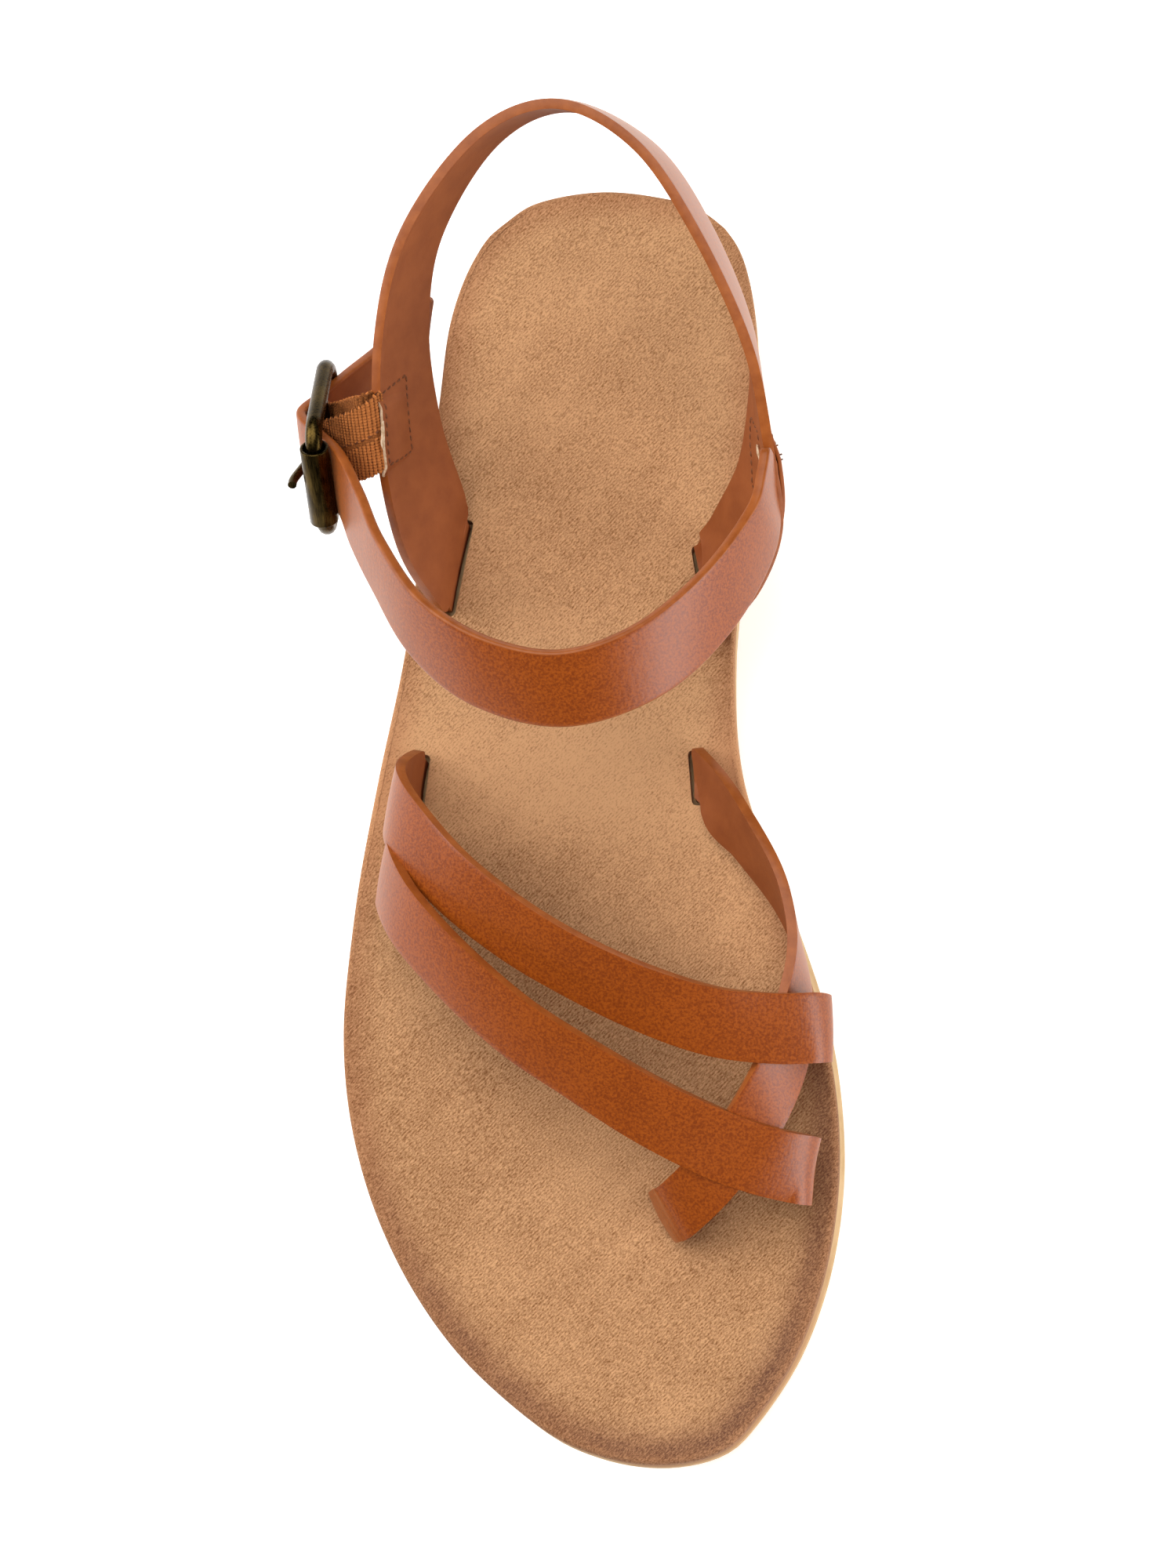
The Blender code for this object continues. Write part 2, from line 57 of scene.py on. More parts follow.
MM = 0.001
LAST_SHIFT = Vector((2.7, 5.0, 0.0))
UP = Vector((0.0, 0.0, 1.0))
BODY = "root"
WHITE = (1.0, 1.0, 1.0, 1.0)

# Sizes shared by several pieces
GAP = 0.3
STRAP_THICK = 2.0
FOOTBED_THICK = 4.5
SLOT_SHORT = 1.6
ROLLER_CENTRE = Vector((-49.7, 55.0, 50.0))
BAR_LEAN = math.radians(40)
BAR = Vector((0.0, math.sin(BAR_LEAN), math.cos(BAR_LEAN)))
BACK = Vector((0.0, math.cos(BAR_LEAN), -math.sin(BAR_LEAN)))
OUT = Vector((-1.0, 0.0, 0.0))
BAR_SPACING = 14.0
CENTRE_BAR = ROLLER_CENTRE + BACK * BAR_SPACING
WIRE_RADIUS = 1.35

# Angles in degrees: edges sharper than these stay sharp, and a rim sharper than RIM_ANGLE is rounded
CRISP_ANGLE = 40.0
LEATHER_ANGLE = 50.0
RIM_ANGLE = 55.0
YARN_ANGLE = 60.0
RIM_STEPS = 3

# Sockets of the colour Mix node, and the length of one band of the Wave texture at a scale of one
MIX_FACTOR, MIX_A, MIX_B = 0, 6, 7
WAVE_BAND = math.tau / 20

# The values that a noise mostly keeps to, as inputs of the Map Range node
NOISE_FILL = {"From Min": 0.3, "From Max": 0.7}


class SoleRow(NamedTuple):
    """One cross line of the sole: its place, its two edges, its heights and its wall's flare."""

    y: float
    lateral: float
    medial: float
    top: float
    bottom: float
    flare: float


class StrapRow(NamedTuple):
    """One section of a strap: its middle, where its outer face looks, and its width.

    facing is the face's compass angle from +X towards +Y, lift is its angle above the floor.
    """

    x: float
    y: float
    z: float
    facing: float
    lift: float
    width: float


class Section(NamedTuple):
    """A strap section worked out: middle, outward normal, direction across, width."""

    centre: Vector
    normal: Vector
    across: Vector
    width: float


SOLE = (
    SoleRow(122.2, 3.5, 3.5, 22.6, 1.4, -0.8),
    SoleRow(120.8, -7.6, 14.6, 22.6, 0.9, -0.8),
    SoleRow(117.6, -14.4, 24.0, 22.5, 0.4, -0.8),
    SoleRow(109.5, -22.2, 31.6, 22.3, 0.0, -0.8),
    SoleRow(96.0, -27.5, 34.8, 22.0, 0.0, -0.8),
    SoleRow(78.0, -30.0, 35.0, 21.4, 0.0, -0.8),
    SoleRow(52.0, -33.4, 32.8, 20.0, 0.0, -0.8),
    SoleRow(26.0, -37.4, 30.0, 17.8, 0.8, -0.6),
    SoleRow(1.0, -43.0, 31.3, 15.0, 2.2, -0.2),
    SoleRow(-25.0, -47.8, 39.6, 13.0, 1.0, 0.8),
    SoleRow(-50.0, -49.7, 46.8, 12.0, 0.0, 1.3),
    SoleRow(-74.0, -46.3, 49.2, 11.9, 0.0, 1.4),
    SoleRow(-95.0, -38.4, 47.0, 12.1, 0.0, 1.4),
    SoleRow(-113.5, -26.0, 41.0, 13.2, 1.6, 1.3),
    SoleRow(-128.0, -9.8, 31.8, 14.8, 3.8, 1.2),
    SoleRow(-133.8, 1.8, 25.0, 15.5, 4.9, 1.2),
    SoleRow(-135.8, 14.0, 14.0, 15.8, 5.4, 1.2),
)

HEEL_SLING = (
    StrapRow(-26.6, 44.5, 21.6, 168, 0, 21.6),
    StrapRow(-27.4, 46.0, 25.2, 167, -13, 21.7),
    StrapRow(-30.0, 52.0, 33.0, 165, -27, 21.4),
    StrapRow(-32.7, 66.0, 44.3, 167, -27, 19.2),
    StrapRow(-32.7, 84.0, 54.8, 160, -20, 16.5),
    StrapRow(-27.6, 101.7, 63.7, 148, -9, 15.2),
    StrapRow(-14.0, 118.7, 70.2, 124, 6, 14.8),
    StrapRow(1.5, 123.8, 72.8, 90, 15, 14.8),
    StrapRow(17.0, 115.5, 71.8, 43, 16, 15.0),
    StrapRow(28.0, 99.3, 67.8, 25, 13, 15.3),
    StrapRow(36.5, 79.0, 60.0, 12, 3, 16.5),
    StrapRow(37.9, 62.5, 51.2, 12, -9, 18.5),
    StrapRow(37.0, 52.3, 40.5, 15, -20, 20.2),
    StrapRow(31.6, 44.2, 28.8, 12, -28, 21.5),
    StrapRow(26.6, 39.6, 23.4, 10, -16, 22.0),
    StrapRow(24.8, 38.0, 21.0, 9, 0, 21.6),
)

INSTEP_STRAP = (
    StrapRow(40.2, 60.5, 54.3, 8, 1, 15.5),
    StrapRow(39.8, 51.5, 55.3, -8, 7, 16.0),
    StrapRow(38.2, 41.3, 57.5, -15, 17, 16.0),
    StrapRow(30.0, 26.3, 64.5, -27, 32, 16.0),
    StrapRow(17.5, 14.0, 69.8, -46, 46, 16.0),
    StrapRow(1.4, 8.5, 71.4, -92, 52, 16.0),
    StrapRow(-15.0, 12.8, 68.4, -130, 43, 16.0),
    StrapRow(-27.8, 22.8, 63.8, -150, 28, 16.0),
    StrapRow(-36.3, 36.2, 59.2, -157, 20.5, 16.0),
    StrapRow(-41.2, 46.5, 55.0, -160, 22, 16.0),
    StrapRow(-45.2, 55.0, 50.0, -160, 19, 16.0),
    StrapRow(-49.7, 60.4, 45.5, -152, 21, 16.0),
    StrapRow(-54.0, 65.7, 41.0, -180, 0, 16.0),
    StrapRow(-50.2, 70.6, 36.9, -204, -19, 16.0),
    StrapRow(-46.6, 75.3, 33.0, -203, -18, 16.0),
    StrapRow(-40.6, 85.0, 23.4, -207, -10, 16.0),
    StrapRow(-33.8, 97.8, 10.6, -207, -9, 16.0),
)

REAR_DIAGONAL = (
    StrapRow(-34.6, 1.0, 16.2, 172, 0, 13.0),
    StrapRow(-36.2, -1.6, 22.4, 169, -4, 13.2),
    StrapRow(-37.4, -5.2, 28.6, 171, 14, 13.8),
    StrapRow(-33.6, -12.5, 35.2, 187, 41, 13.8),
    StrapRow(-23.6, -23.9, 40.4, 211, 50, 13.8),
    StrapRow(-11.2, -33.9, 42.7, 231, 52, 13.8),
    StrapRow(1.1, -41.3, 42.4, 245, 52, 13.8),
    StrapRow(14.0, -47.3, 40.4, 259, 57, 13.8),
    StrapRow(27.0, -51.5, 37.4, 281, 64, 13.8),
    StrapRow(38.5, -52.6, 33.6, 320, 65, 13.8),
    StrapRow(46.0, -52.2, 30.0, 350, 44, 13.8),
    StrapRow(48.6, -51.9, 25.4, 360, 2, 13.0),
    StrapRow(46.4, -51.8, 21.0, 360, -50, 12.4),
    StrapRow(41.0, -51.6, 19.4, 360, -95, 12.4),
    StrapRow(36.0, -51.4, 21.0, 360, -112, 12.4),
)

FRONT_DIAGONAL = (
    StrapRow(-36.4, -15.4, 15.2, 168, 0, 13.0),
    StrapRow(-38.9, -17.4, 21.2, 163, -4, 13.2),
    StrapRow(-39.2, -20.2, 26.6, 177, 20, 13.8),
    StrapRow(-34.4, -29.2, 33.0, 197, 38, 13.8),
    StrapRow(-24.5, -40.5, 36.6, 216, 46, 13.8),
    StrapRow(-11.9, -51.9, 37.6, 234, 51, 13.8),
    StrapRow(1.0, -60.5, 36.6, 245, 54, 13.8),
    StrapRow(14.5, -68.7, 34.2, 261, 62, 13.8),
    StrapRow(27.5, -75.0, 30.7, 292, 65, 13.8),
    StrapRow(36.5, -78.0, 27.6, 309, 56, 13.8),
    StrapRow(43.4, -79.3, 23.0, 335, 28, 13.8),
    StrapRow(44.0, -79.5, 18.4, 360, -25, 12.8),
    StrapRow(39.5, -78.9, 17.0, 360, -100, 12.0),
    StrapRow(33.5, -77.8, 21.4, 360, -128, 12.0),
)

TOE_POST_STRAP = (
    StrapRow(22.5, 0.9, 16.0, 4, 0, 12.8),
    StrapRow(25.8, -4.2, 19.4, 18, -26, 13.6),
    StrapRow(33.3, -14.3, 22.6, 23, -22, 14.0),
    StrapRow(40.0, -26.1, 24.8, 18, -10, 14.0),
    StrapRow(42.9, -39.5, 25.8, 4, 8, 13.4),
    StrapRow(40.6, -56.0, 27.0, -15, 40, 12.0),
    StrapRow(34.6, -69.8, 29.6, -36, 60, 11.6),
    StrapRow(26.3, -80.2, 27.7, -90, 66, 11.6),
    StrapRow(19.1, -86.6, 22.6, -130, 54, 11.6),
    StrapRow(16.9, -87.4, 18.5, -150, 17, 11.6),
    StrapRow(15.3, -87.4, 13.2, -152, 0, 11.0),
)

# Where each strap end goes down through the footbed: the strap's table, its row and the clearance round it
SLOT_ENDS = (
    (HEEL_SLING, 0, 0.8),
    (HEEL_SLING, -1, 0.8),
    (REAR_DIAGONAL, 0, 0.8),
    (FRONT_DIAGONAL, 0, 0.8),
    (TOE_POST_STRAP, 0, 0.8),
    (TOE_POST_STRAP, -1, 0.1),
)


class Slot(Enum):
    """Names of the material slots."""

    RUBBER = "cream_rubber"
    SUEDE = "tan_suede"
    LEATHER = "cognac_leather"
    ELASTIC = "tan_elastic"
    BRASS = "antique_brass"


# Small tools


def linear(hex_colour: str) -> tuple[float, float, float, float]:
    """Turn an sRGB hex colour to linear.

    Args:
        hex_colour: Six hex digits after a hash sign.

    Returns:
        Linear red, green, blue and an alpha of one.
    """
    shares = [int(hex_colour[i:i + 2], 16) / 255 for i in (1, 3, 5)]
    values = [s / 12.92 if s <= 0.04045 else ((s + 0.055) / 1.055) ** 2.4 for s in shares]
    return (values[0], values[1], values[2], 1.0)


def per_metre(size_mm: float) -> float:
    """Texture scale that gives features of a size in millimetres."""
    return 1.0 / (size_mm * MM)


def feed(tree: bpy.types.NodeTree, node: bpy.types.Node, inputs: dict) -> None:
    """Set or link a node's inputs.

    Args:
        tree: The node tree.
        node: The node.
        inputs: Socket name or number to a value, to an output, or to a node, which stands for its first
            output in use.
    """
    for key, value in inputs.items():
        if isinstance(value, bpy.types.Node):
            value = next(output for output in value.outputs if output.enabled)
        if isinstance(value, bpy.types.NodeSocket):
            tree.links.new(value, node.inputs[key])
        else:
            node.inputs[key].default_value = value


def add_node(
        tree: bpy.types.NodeTree, kind: str, inputs: dict | None = None, stops: Sequence[tuple] = (),
        **settings: Any) -> bpy.types.Node:
    """Add a node to a tree.

    Args:
        tree: The material's node tree.
        kind: The node's type name.
        inputs: What its inputs are fed with.
        stops: Position and colour of each stop, where the node is a colour ramp.
        settings: Properties of the node.

    Returns:
        The new node.
    """
    node = tree.nodes.new(kind)
    for key, value in settings.items():
        setattr(node, key, value)
    feed(tree, node, inputs or {})
    for number, (position, colour) in enumerate(stops):
        elements = node.color_ramp.elements
        element = elements[number] if number < len(elements) else elements.new(position)
        element.position, element.color = position, colour
    return node


def greys(stops: Sequence[tuple[float, float]]) -> list[tuple]:
    """Turn positions and shares to the stops of a grey ramp."""
    return [(position, (share, share, share, 1.0)) for position, share in stops]


def select_only(obj: bpy.types.Object) -> None:
    """Deselect everything, then select one object and make it active."""
    bpy.ops.object.select_all(action="DESELECT")
    obj.select_set(True)
    bpy.context.view_layer.objects.active = obj


def apply_modifier(obj: bpy.types.Object, kind: str, **settings: Any) -> None:
    """Add a modifier with its settings and apply it.

    Args:
        obj: The piece.
        kind: The modifier's type name.
        settings: Properties of the modifier.
    """
    modifier = obj.modifiers.new(kind.title(), kind)
    for key, value in settings.items():
        setattr(modifier, key, value)
    select_only(obj)
    bpy.ops.object.modifier_apply(modifier=modifier.name)


def smooth_by_angle(obj: bpy.types.Object, degrees: float) -> None:
    """Shade a piece smooth apart from edges sharper than an angle."""
    select_only(obj)
    bpy.ops.object.shade_smooth_by_angle(angle=math.radians(degrees))


def to_world(point: Vector) -> Vector:
    """Move a point from the last's frame in millimetres to the world's in metres."""
    return (point + LAST_SHIFT) * MM


def shaped_grid(
        name: str, columns: int, rows: int, place: Callable[[float, float], Vector]) -> bpy.types.Object:
    """Add a grid and bring each of its points to its place, keeping its own UV map.

    Args:
        name: The piece's name.
        columns: Faces along the grid's first direction.
        rows: Faces along its second direction.
        place: Gives a point of the last's frame from the two grid shares, each from 0 to 1.

    Returns:
        The new object, at the origin.
    """
    bpy.ops.object.select_all(action="DESELECT")
    bpy.ops.mesh.primitive_grid_add(x_subdivisions=columns, y_subdivisions=rows, size=1.0, calc_uvs=True)
    obj = bpy.context.active_object
    obj.name = obj.data.name = name
    for vertex in obj.data.vertices:
        vertex.co = to_world(place(vertex.co.x + 0.5, vertex.co.y + 0.5))
    return obj


def wire(
        name: str, points: Sequence[Vector], radius: float, closed: bool, sides: int) -> bpy.types.Object:
    """Bend a round wire along a line and turn it to a mesh.

    Args:
        name: The piece's name.
        points: The line, in the last's frame.
        radius: The wire's radius, in millimetres.
        closed: True where the line ends on its start.
        sides: Number of sides of the wire's section.

    Returns:
        The new mesh object.
    """
    curve = bpy.data.curves.new(name, "CURVE")
    curve.dimensions = "3D"
    curve.bevel_depth = MM
    curve.bevel_resolution = sides // 4
    curve.use_fill_caps = not closed
    spline = curve.splines.new("POLY")
    spline.points.add(len(points) - 1)
    for target, point in zip(spline.points, points):
        target.co = (*to_world(point), 1.0)
        target.radius = radius
    spline.use_cyclic_u = closed
    obj = bpy.data.objects.new(name, curve)
    bpy.context.scene.collection.objects.link(obj)
    select_only(obj)
    bpy.ops.object.convert(target="MESH")
    return bpy.context.active_object


def join(name: str, parts: Sequence[bpy.types.Object]) -> bpy.types.Object:
    """Join meshes into the first of them and name the result."""
    bpy.ops.object.select_all(action="DESELECT")
    for part in parts:
        part.select_set(True)
    bpy.context.view_layer.objects.active = parts[0]
    bpy.ops.object.join()
    joined = bpy.context.active_object
    joined.name = joined.data.name = name
    return joined


def dress(obj: bpy.types.Object, materials: Sequence[bpy.types.Material], slot: Slot, *nodes: str) -> None:
    """Give a piece its materials, hang it on the body and hide the solids that it stands for.

    Args:
        obj: The piece.
        materials: Its materials in the order of its faces' numbers.
        slot: Not used.
        nodes: Solids that it stands for.
    """
    obj.data.materials.clear()
    for material in materials:
        obj.data.materials.append(material)
    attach(obj, BODY)
    if nodes:
        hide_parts(*nodes)
    LOG.info("%s: %d faces", obj.name, len(obj.data.polygons))


def between(rows: Sequence[tuple], index: int, t: float) -> list[float]:
    """Catmull-Rom value of a row between rows[index] and rows[index + 1]."""
    last = len(rows) - 1
    p0, p1 = rows[max(index - 1, 0)], rows[index]
    p2, p3 = rows[index + 1], rows[min(index + 2, last)]
    values = []
    for a, b, c, d in zip(p0, p1, p2, p3):
        bend = 2 * a - 5 * b + 4 * c - d
        twist = 3 * (b - c) + d - a
        values.append(b + 0.5 * t * (c - a + t * (bend + t * twist)))
    return values


def smooth_rows(rows: Sequence[Any], steps: int) -> list[Any]:
    """Return rows with steps - 1 smooth ones put between each pair."""
    kind = type(rows[0])
    out = []
    for index in range(len(rows) - 1):
        for step in range(steps):
            out.append(kind(*between(rows, index, step / steps)))
    out.append(rows[-1])
    return out


def run_lengths(points: Sequence[Vector]) -> np.ndarray:
    """Distance along a line at each of its points."""
    return np.cumsum([0.0, *((b - a).length for a, b in zip(points, points[1:]))])


def ease(share: float) -> float:
    """Smooth step from 0 to 1, flat outside them."""
    t = min(max(share, 0.0), 1.0)
    return t * t * (3 - 2 * t)


def thicken(sheet: bpy.types.Object, thick: float, edge_round: float) -> None:
    """Give a dressed sheet its thickness, with its second material inside and its third on its rounded rim.

    Args:
        sheet: The sheet, with its materials.
        thick: Its thickness in millimetres.
        edge_round: The radius of its rim in millimetres.
    """
    apply_modifier(sheet, "SOLIDIFY", thickness=thick * MM, offset=0.0, use_even_offset=True,
                   use_quality_normals=True, material_offset=1, material_offset_rim=2)
    apply_modifier(sheet, "BEVEL", width=edge_round * MM, segments=RIM_STEPS, limit_method="ANGLE",
                   angle_limit=math.radians(RIM_ANGLE), use_clamp_overlap=True, material=2)
    smooth_by_angle(sheet, LEATHER_ANGLE)


def direction(facing: float, lift: float) -> Vector:
    """Unit vector that looks along a compass angle and an angle above the floor."""
    f, u = math.radians(facing), math.radians(lift)
    return Vector((math.cos(f) * math.cos(u), math.sin(f) * math.cos(u), math.sin(u)))


# Finishes


def new_material(
        name: str, constants: dict) -> tuple[bpy.types.Material, bpy.types.NodeTree, bpy.types.Node]:
    """Start a material.

    Args:
        name: What the material is.
        constants: Values of the shader's sockets that are the same all over the surface.

    Returns:
        The material, its node tree and its shader.
    """
    material = bpy.data.materials.new(name)
    material.use_nodes = True
    tree = material.node_tree
    shader = tree.nodes["Principled BSDF"]
    feed(tree, shader, constants)
    return material, tree, shader


@dataclass(frozen=True)
class CognacLeather:
    """Drum-dyed cow leather, waxed: deep orange-brown, finely stippled and creased, with a soft gloss."""

    name: str = "cognac_leather_face"
    deep: str = "#793203"
    light: str = "#994808"
    tone_from: float = 0.4
    tone_to: float = 0.6
    cloud_mm: float = 11.0
    cloud_share: float = 0.12
    stipple_mm: float = 0.5
    pore_mm: float = 0.8
    pore_depth: float = 0.0002
    crease_rows: tuple = (240.0, 5.0, 1.0)
    crease_depth: float = 0.0003
    roughness: float = 0.36
    gloss_change: float = 0.03
    specular: float = 0.4
    sheen: float = 0.22
    sheen_roughness: float = 0.45
    sheen_tint: str = "#FFBA84"

    def material(self) -> bpy.types.Material:
        """Build the leather's nodes."""
        material, tree, shader = new_material(
            self.name, {"Specular IOR Level": self.specular, "Sheen Weight": self.sheen,
                        "Sheen Roughness": self.sheen_roughness, "Sheen Tint": linear(self.sheen_tint)})
        coord = add_node(tree, "ShaderNodeTexCoord")
        place = coord.outputs["Object"]
        cloud = add_node(tree, "ShaderNodeTexNoise",
                         {"Vector": place, "Scale": per_metre(self.cloud_mm), "Detail": 3.0})
        stipple = add_node(tree, "ShaderNodeTexNoise",
                           {"Vector": place, "Scale": per_metre(self.stipple_mm), "Detail": 3.0,
                            "Roughness": 0.6})
        tone = add_node(tree, "ShaderNodeMix", {"Factor": self.cloud_share, "A": stipple, "B": cloud})
        colour = add_node(tree, "ShaderNodeValToRGB", {"Fac": tone},
                          ((self.tone_from, linear(self.deep)), (self.tone_to, linear(self.light))))
        pores = add_node(tree, "ShaderNodeTexVoronoi",
                         {"Vector": place, "Scale": per_metre(self.pore_mm)}, feature="SMOOTH_F1")
        pebble = add_node(tree, "ShaderNodeBump",
                          {"Height": pores, "Strength": 0.08, "Distance": self.pore_depth}, invert=True)
        stretch = add_node(tree, "ShaderNodeMapping",
                           {"Vector": coord.outputs["UV"], "Scale": self.crease_rows})
        lines = add_node(tree, "ShaderNodeTexNoise", {"Vector": stretch, "Scale": 1.0, "Detail": 2.0})
        crease = add_node(tree, "ShaderNodeBump",
                          {"Height": lines, "Strength": 0.12, "Distance": self.crease_depth,
                           "Normal": pebble})
        gloss = add_node(tree, "ShaderNodeMapRange",
                         {"Value": tone, **NOISE_FILL,
                          "To Min": self.roughness - self.gloss_change,
                          "To Max": self.roughness + self.gloss_change})
        feed(tree, shader, {"Base Color": colour, "Roughness": gloss, "Normal": crease})
        return material


@dataclass(frozen=True)
class PlainLeather:
    """Coated split leather, thread or cloth of one shade, as on linings and cut edges, with a fine grain."""

    name: str
    deep: str
    light: str
    roughness: float
    cloud_mm: float = 5.0
    grain_mm: float = 0.6
    grain_strength: float = 0.12
    grain_depth: float = 0.0002
    specular: float = 0.3
    tone_from: float = 0.35
    tone_to: float = 0.65

    def material(self) -> bpy.types.Material:
        """Build the lining's or edge's nodes."""
        material, tree, shader = new_material(
            self.name, {"Roughness": self.roughness, "Specular IOR Level": self.specular})
        place = add_node(tree, "ShaderNodeTexCoord").outputs["Object"]
        cloud = add_node(tree, "ShaderNodeTexNoise",
                         {"Vector": place, "Scale": per_metre(self.cloud_mm), "Detail": 4.0,
                          "Roughness": 0.6})
        colour = add_node(tree, "ShaderNodeValToRGB", {"Fac": cloud},
                          ((self.tone_from, linear(self.deep)), (self.tone_to, linear(self.light))))
        grain = add_node(tree, "ShaderNodeTexNoise",
                         {"Vector": place, "Scale": per_metre(self.grain_mm), "Detail": 2.0})
        bump = add_node(tree, "ShaderNodeBump",
                        {"Height": grain, "Strength": self.grain_strength, "Distance": self.grain_depth})
        feed(tree, shader, {"Base Color": colour, "Normal": bump})
        return material


@dataclass(frozen=True)
class NappedSuede:
    """Buffed split suede: short nap lying one way with dark flecks in it, cloudy; its dusky rim is partly
    burnish and partly painted shade, and painted light brightens the waist.
    """

    name: str = "tan_suede_nap"
    dark: str = "#764A2A"
    light: str = "#CB9B6F"
    blush: str = "#D9BDB6"
    # dusk colours the rim: partly burnish, partly painted shade where the rim rolls down
    dusk: str = "#58372D"
    nap_turn: float = 45.0
    nap_stretch: float = 2.0
    fleck_mm: float = 0.28
    fleck_depth: float = 0.0003
    twill_mm: float = 0.6
    twill_clear: tuple = (0.8, 2.5)
    smear_mm: float = 4.0
    cloud_mm: float = 22.0
    noise_span: tuple = (0.32, 0.66)
    fleck_share: tuple = (0.22, 1.0)
    smear_share: tuple = (-0.05, 0.05)
    cloud_share: tuple = (-0.1, 0.1)
    twill_share: tuple = (-0.04, 0.04)
    ragged_mm: float = 0.5
    blush_mm: float = 8.0
    blush_share: float = 0.5
    band_mm: float = 10.0
    dusk_band: tuple = (
        (0.0, 0.5), (0.1, 0.9), (0.24, 1.0), (0.4, 0.6), (0.62, 0.22), (0.95, 0.0), (1.0, 0.0))
    dusk_span: tuple = (0.35, 0.65)
    patchy_share: tuple = (0.55, 1.25)
    speckle_share: tuple = (1.35, 0.65)
    # Painted light and shade along the foot, lightest at the waist
    painted_light_along_foot: tuple = ((0.0, 0.42), (0.3, 0.4), (0.44, 0.5), (0.53, 0.86), (0.64, 0.53), (1.0, 0.56))
    painted_light_middle: float = 0.5
    foot_from: float = -0.131
    foot_to: float = 0.128
    toe_lean: float = -0.45
    toe_from: float = -0.098
    toe_to: float = -0.038
    toe_share: float = 0.5
    rest_share: float = 0.04
    roughness: float = 0.95
    specular: float = 0.15
    sheen: float = 0.2
    sheen_roughness: float = 0.5
    sheen_tint: str = "#E8C8A4"

    def material(self) -> bpy.types.Material:
        """Build the suede's nodes; the piece's rim_mm attribute is the distance from its edge."""
        material, tree, shader = new_material(
            self.name, {"Roughness": self.roughness, "Specular IOR Level": self.specular,
                        "Sheen Weight": self.sheen, "Sheen Roughness": self.sheen_roughness,
                        "Sheen Tint": linear(self.sheen_tint)})
        place = add_node(tree, "ShaderNodeTexCoord").outputs["Object"]
        lay = add_node(tree, "ShaderNodeMapping",
                       {"Vector": place, "Rotation": (0.0, 0.0, math.radians(self.nap_turn)),
                        "Scale": (self.nap_stretch, 1.0, 1.0)}, vector_type="TEXTURE")
        fleck = add_node(tree, "ShaderNodeTexNoise",
                         {"Vector": lay, "Scale": per_metre(self.fleck_mm), "Detail": 2.0,
                          "Roughness": 0.6})
        smear = add_node(tree, "ShaderNodeTexNoise",
                         {"Vector": lay, "Scale": per_metre(self.smear_mm), "Detail": 3.0})
        cloud = add_node(tree, "ShaderNodeTexNoise",
                         {"Vector": place, "Scale": per_metre(self.cloud_mm), "Detail": 3.0})
        twill = add_node(tree, "ShaderNodeTexWave",
                         {"Vector": lay, "Scale": WAVE_BAND * per_metre(self.twill_mm),
                          "Distortion": 0.7, "Detail": 1.0}, bands_direction="Y")
        shares = []
        for noise, (low, high) in ((fleck, self.fleck_share), (smear, self.smear_share),
                                   (cloud, self.cloud_share), (twill, self.twill_share)):
            shares.append(add_node(tree, "ShaderNodeMapRange",
                                   {"Value": noise.outputs["Fac"], "From Min": self.noise_span[0],
                                    "From Max": self.noise_span[1], "To Min": low, "To Max": high},
                                   clamp=False))
        rim = add_node(tree, "ShaderNodeAttribute", attribute_name="rim_mm").outputs["Fac"]
        clear = add_node(tree, "ShaderNodeMapRange",
                         {"Value": rim, "From Min": self.twill_clear[0], "From Max": self.twill_clear[1]})
        shares[-1] = add_node(tree, "ShaderNodeMath", {0: shares[-1], 1: clear}, operation="MULTIPLY")
        along = add_node(tree, "ShaderNodeSeparateXYZ", {0: place}).outputs
        # Painted light and shade along the foot, lightest at the waist
        foot = add_node(tree, "ShaderNodeMapRange",
                        {"Value": along["Y"], "From Min": self.foot_from, "From Max": self.foot_to})
        painted_light_ramp = add_node(tree, "ShaderNodeValToRGB", {"Fac": foot}, greys(self.painted_light_along_foot))
        shares.append(add_node(tree, "ShaderNodeMath", {0: painted_light_ramp, 1: self.painted_light_middle},
                               operation="SUBTRACT"))
        tone = shares[0]
        for share in shares[1:]:
            tone = add_node(tree, "ShaderNodeMath", {0: tone, 1: share}, operation="ADD")
        tone = add_node(tree, "ShaderNodeClamp", {"Value": tone})
        nap = add_node(tree, "ShaderNodeMix",
                       {MIX_FACTOR: tone, MIX_A: linear(self.dark), MIX_B: linear(self.light)},
                       data_type="RGBA")
        waver = add_node(tree, "ShaderNodeMapRange",
                         {"Value": smear, **NOISE_FILL, "To Min": -self.ragged_mm,
                          "To Max": self.ragged_mm})
        ragged = add_node(tree, "ShaderNodeMath", {0: waver, 1: rim}, operation="ADD")
        rosy = add_node(tree, "ShaderNodeMapRange",
                        {"Value": ragged, "From Min": 0.0, "From Max": self.blush_mm,
                         "To Min": self.blush_share, "To Max": 0.0}, interpolation_type="SMOOTHSTEP")
        blushed = add_node(tree, "ShaderNodeMix",
                           {MIX_FACTOR: rosy, MIX_A: nap, MIX_B: linear(self.blush)},
                           data_type="RGBA", blend_type="MULTIPLY")
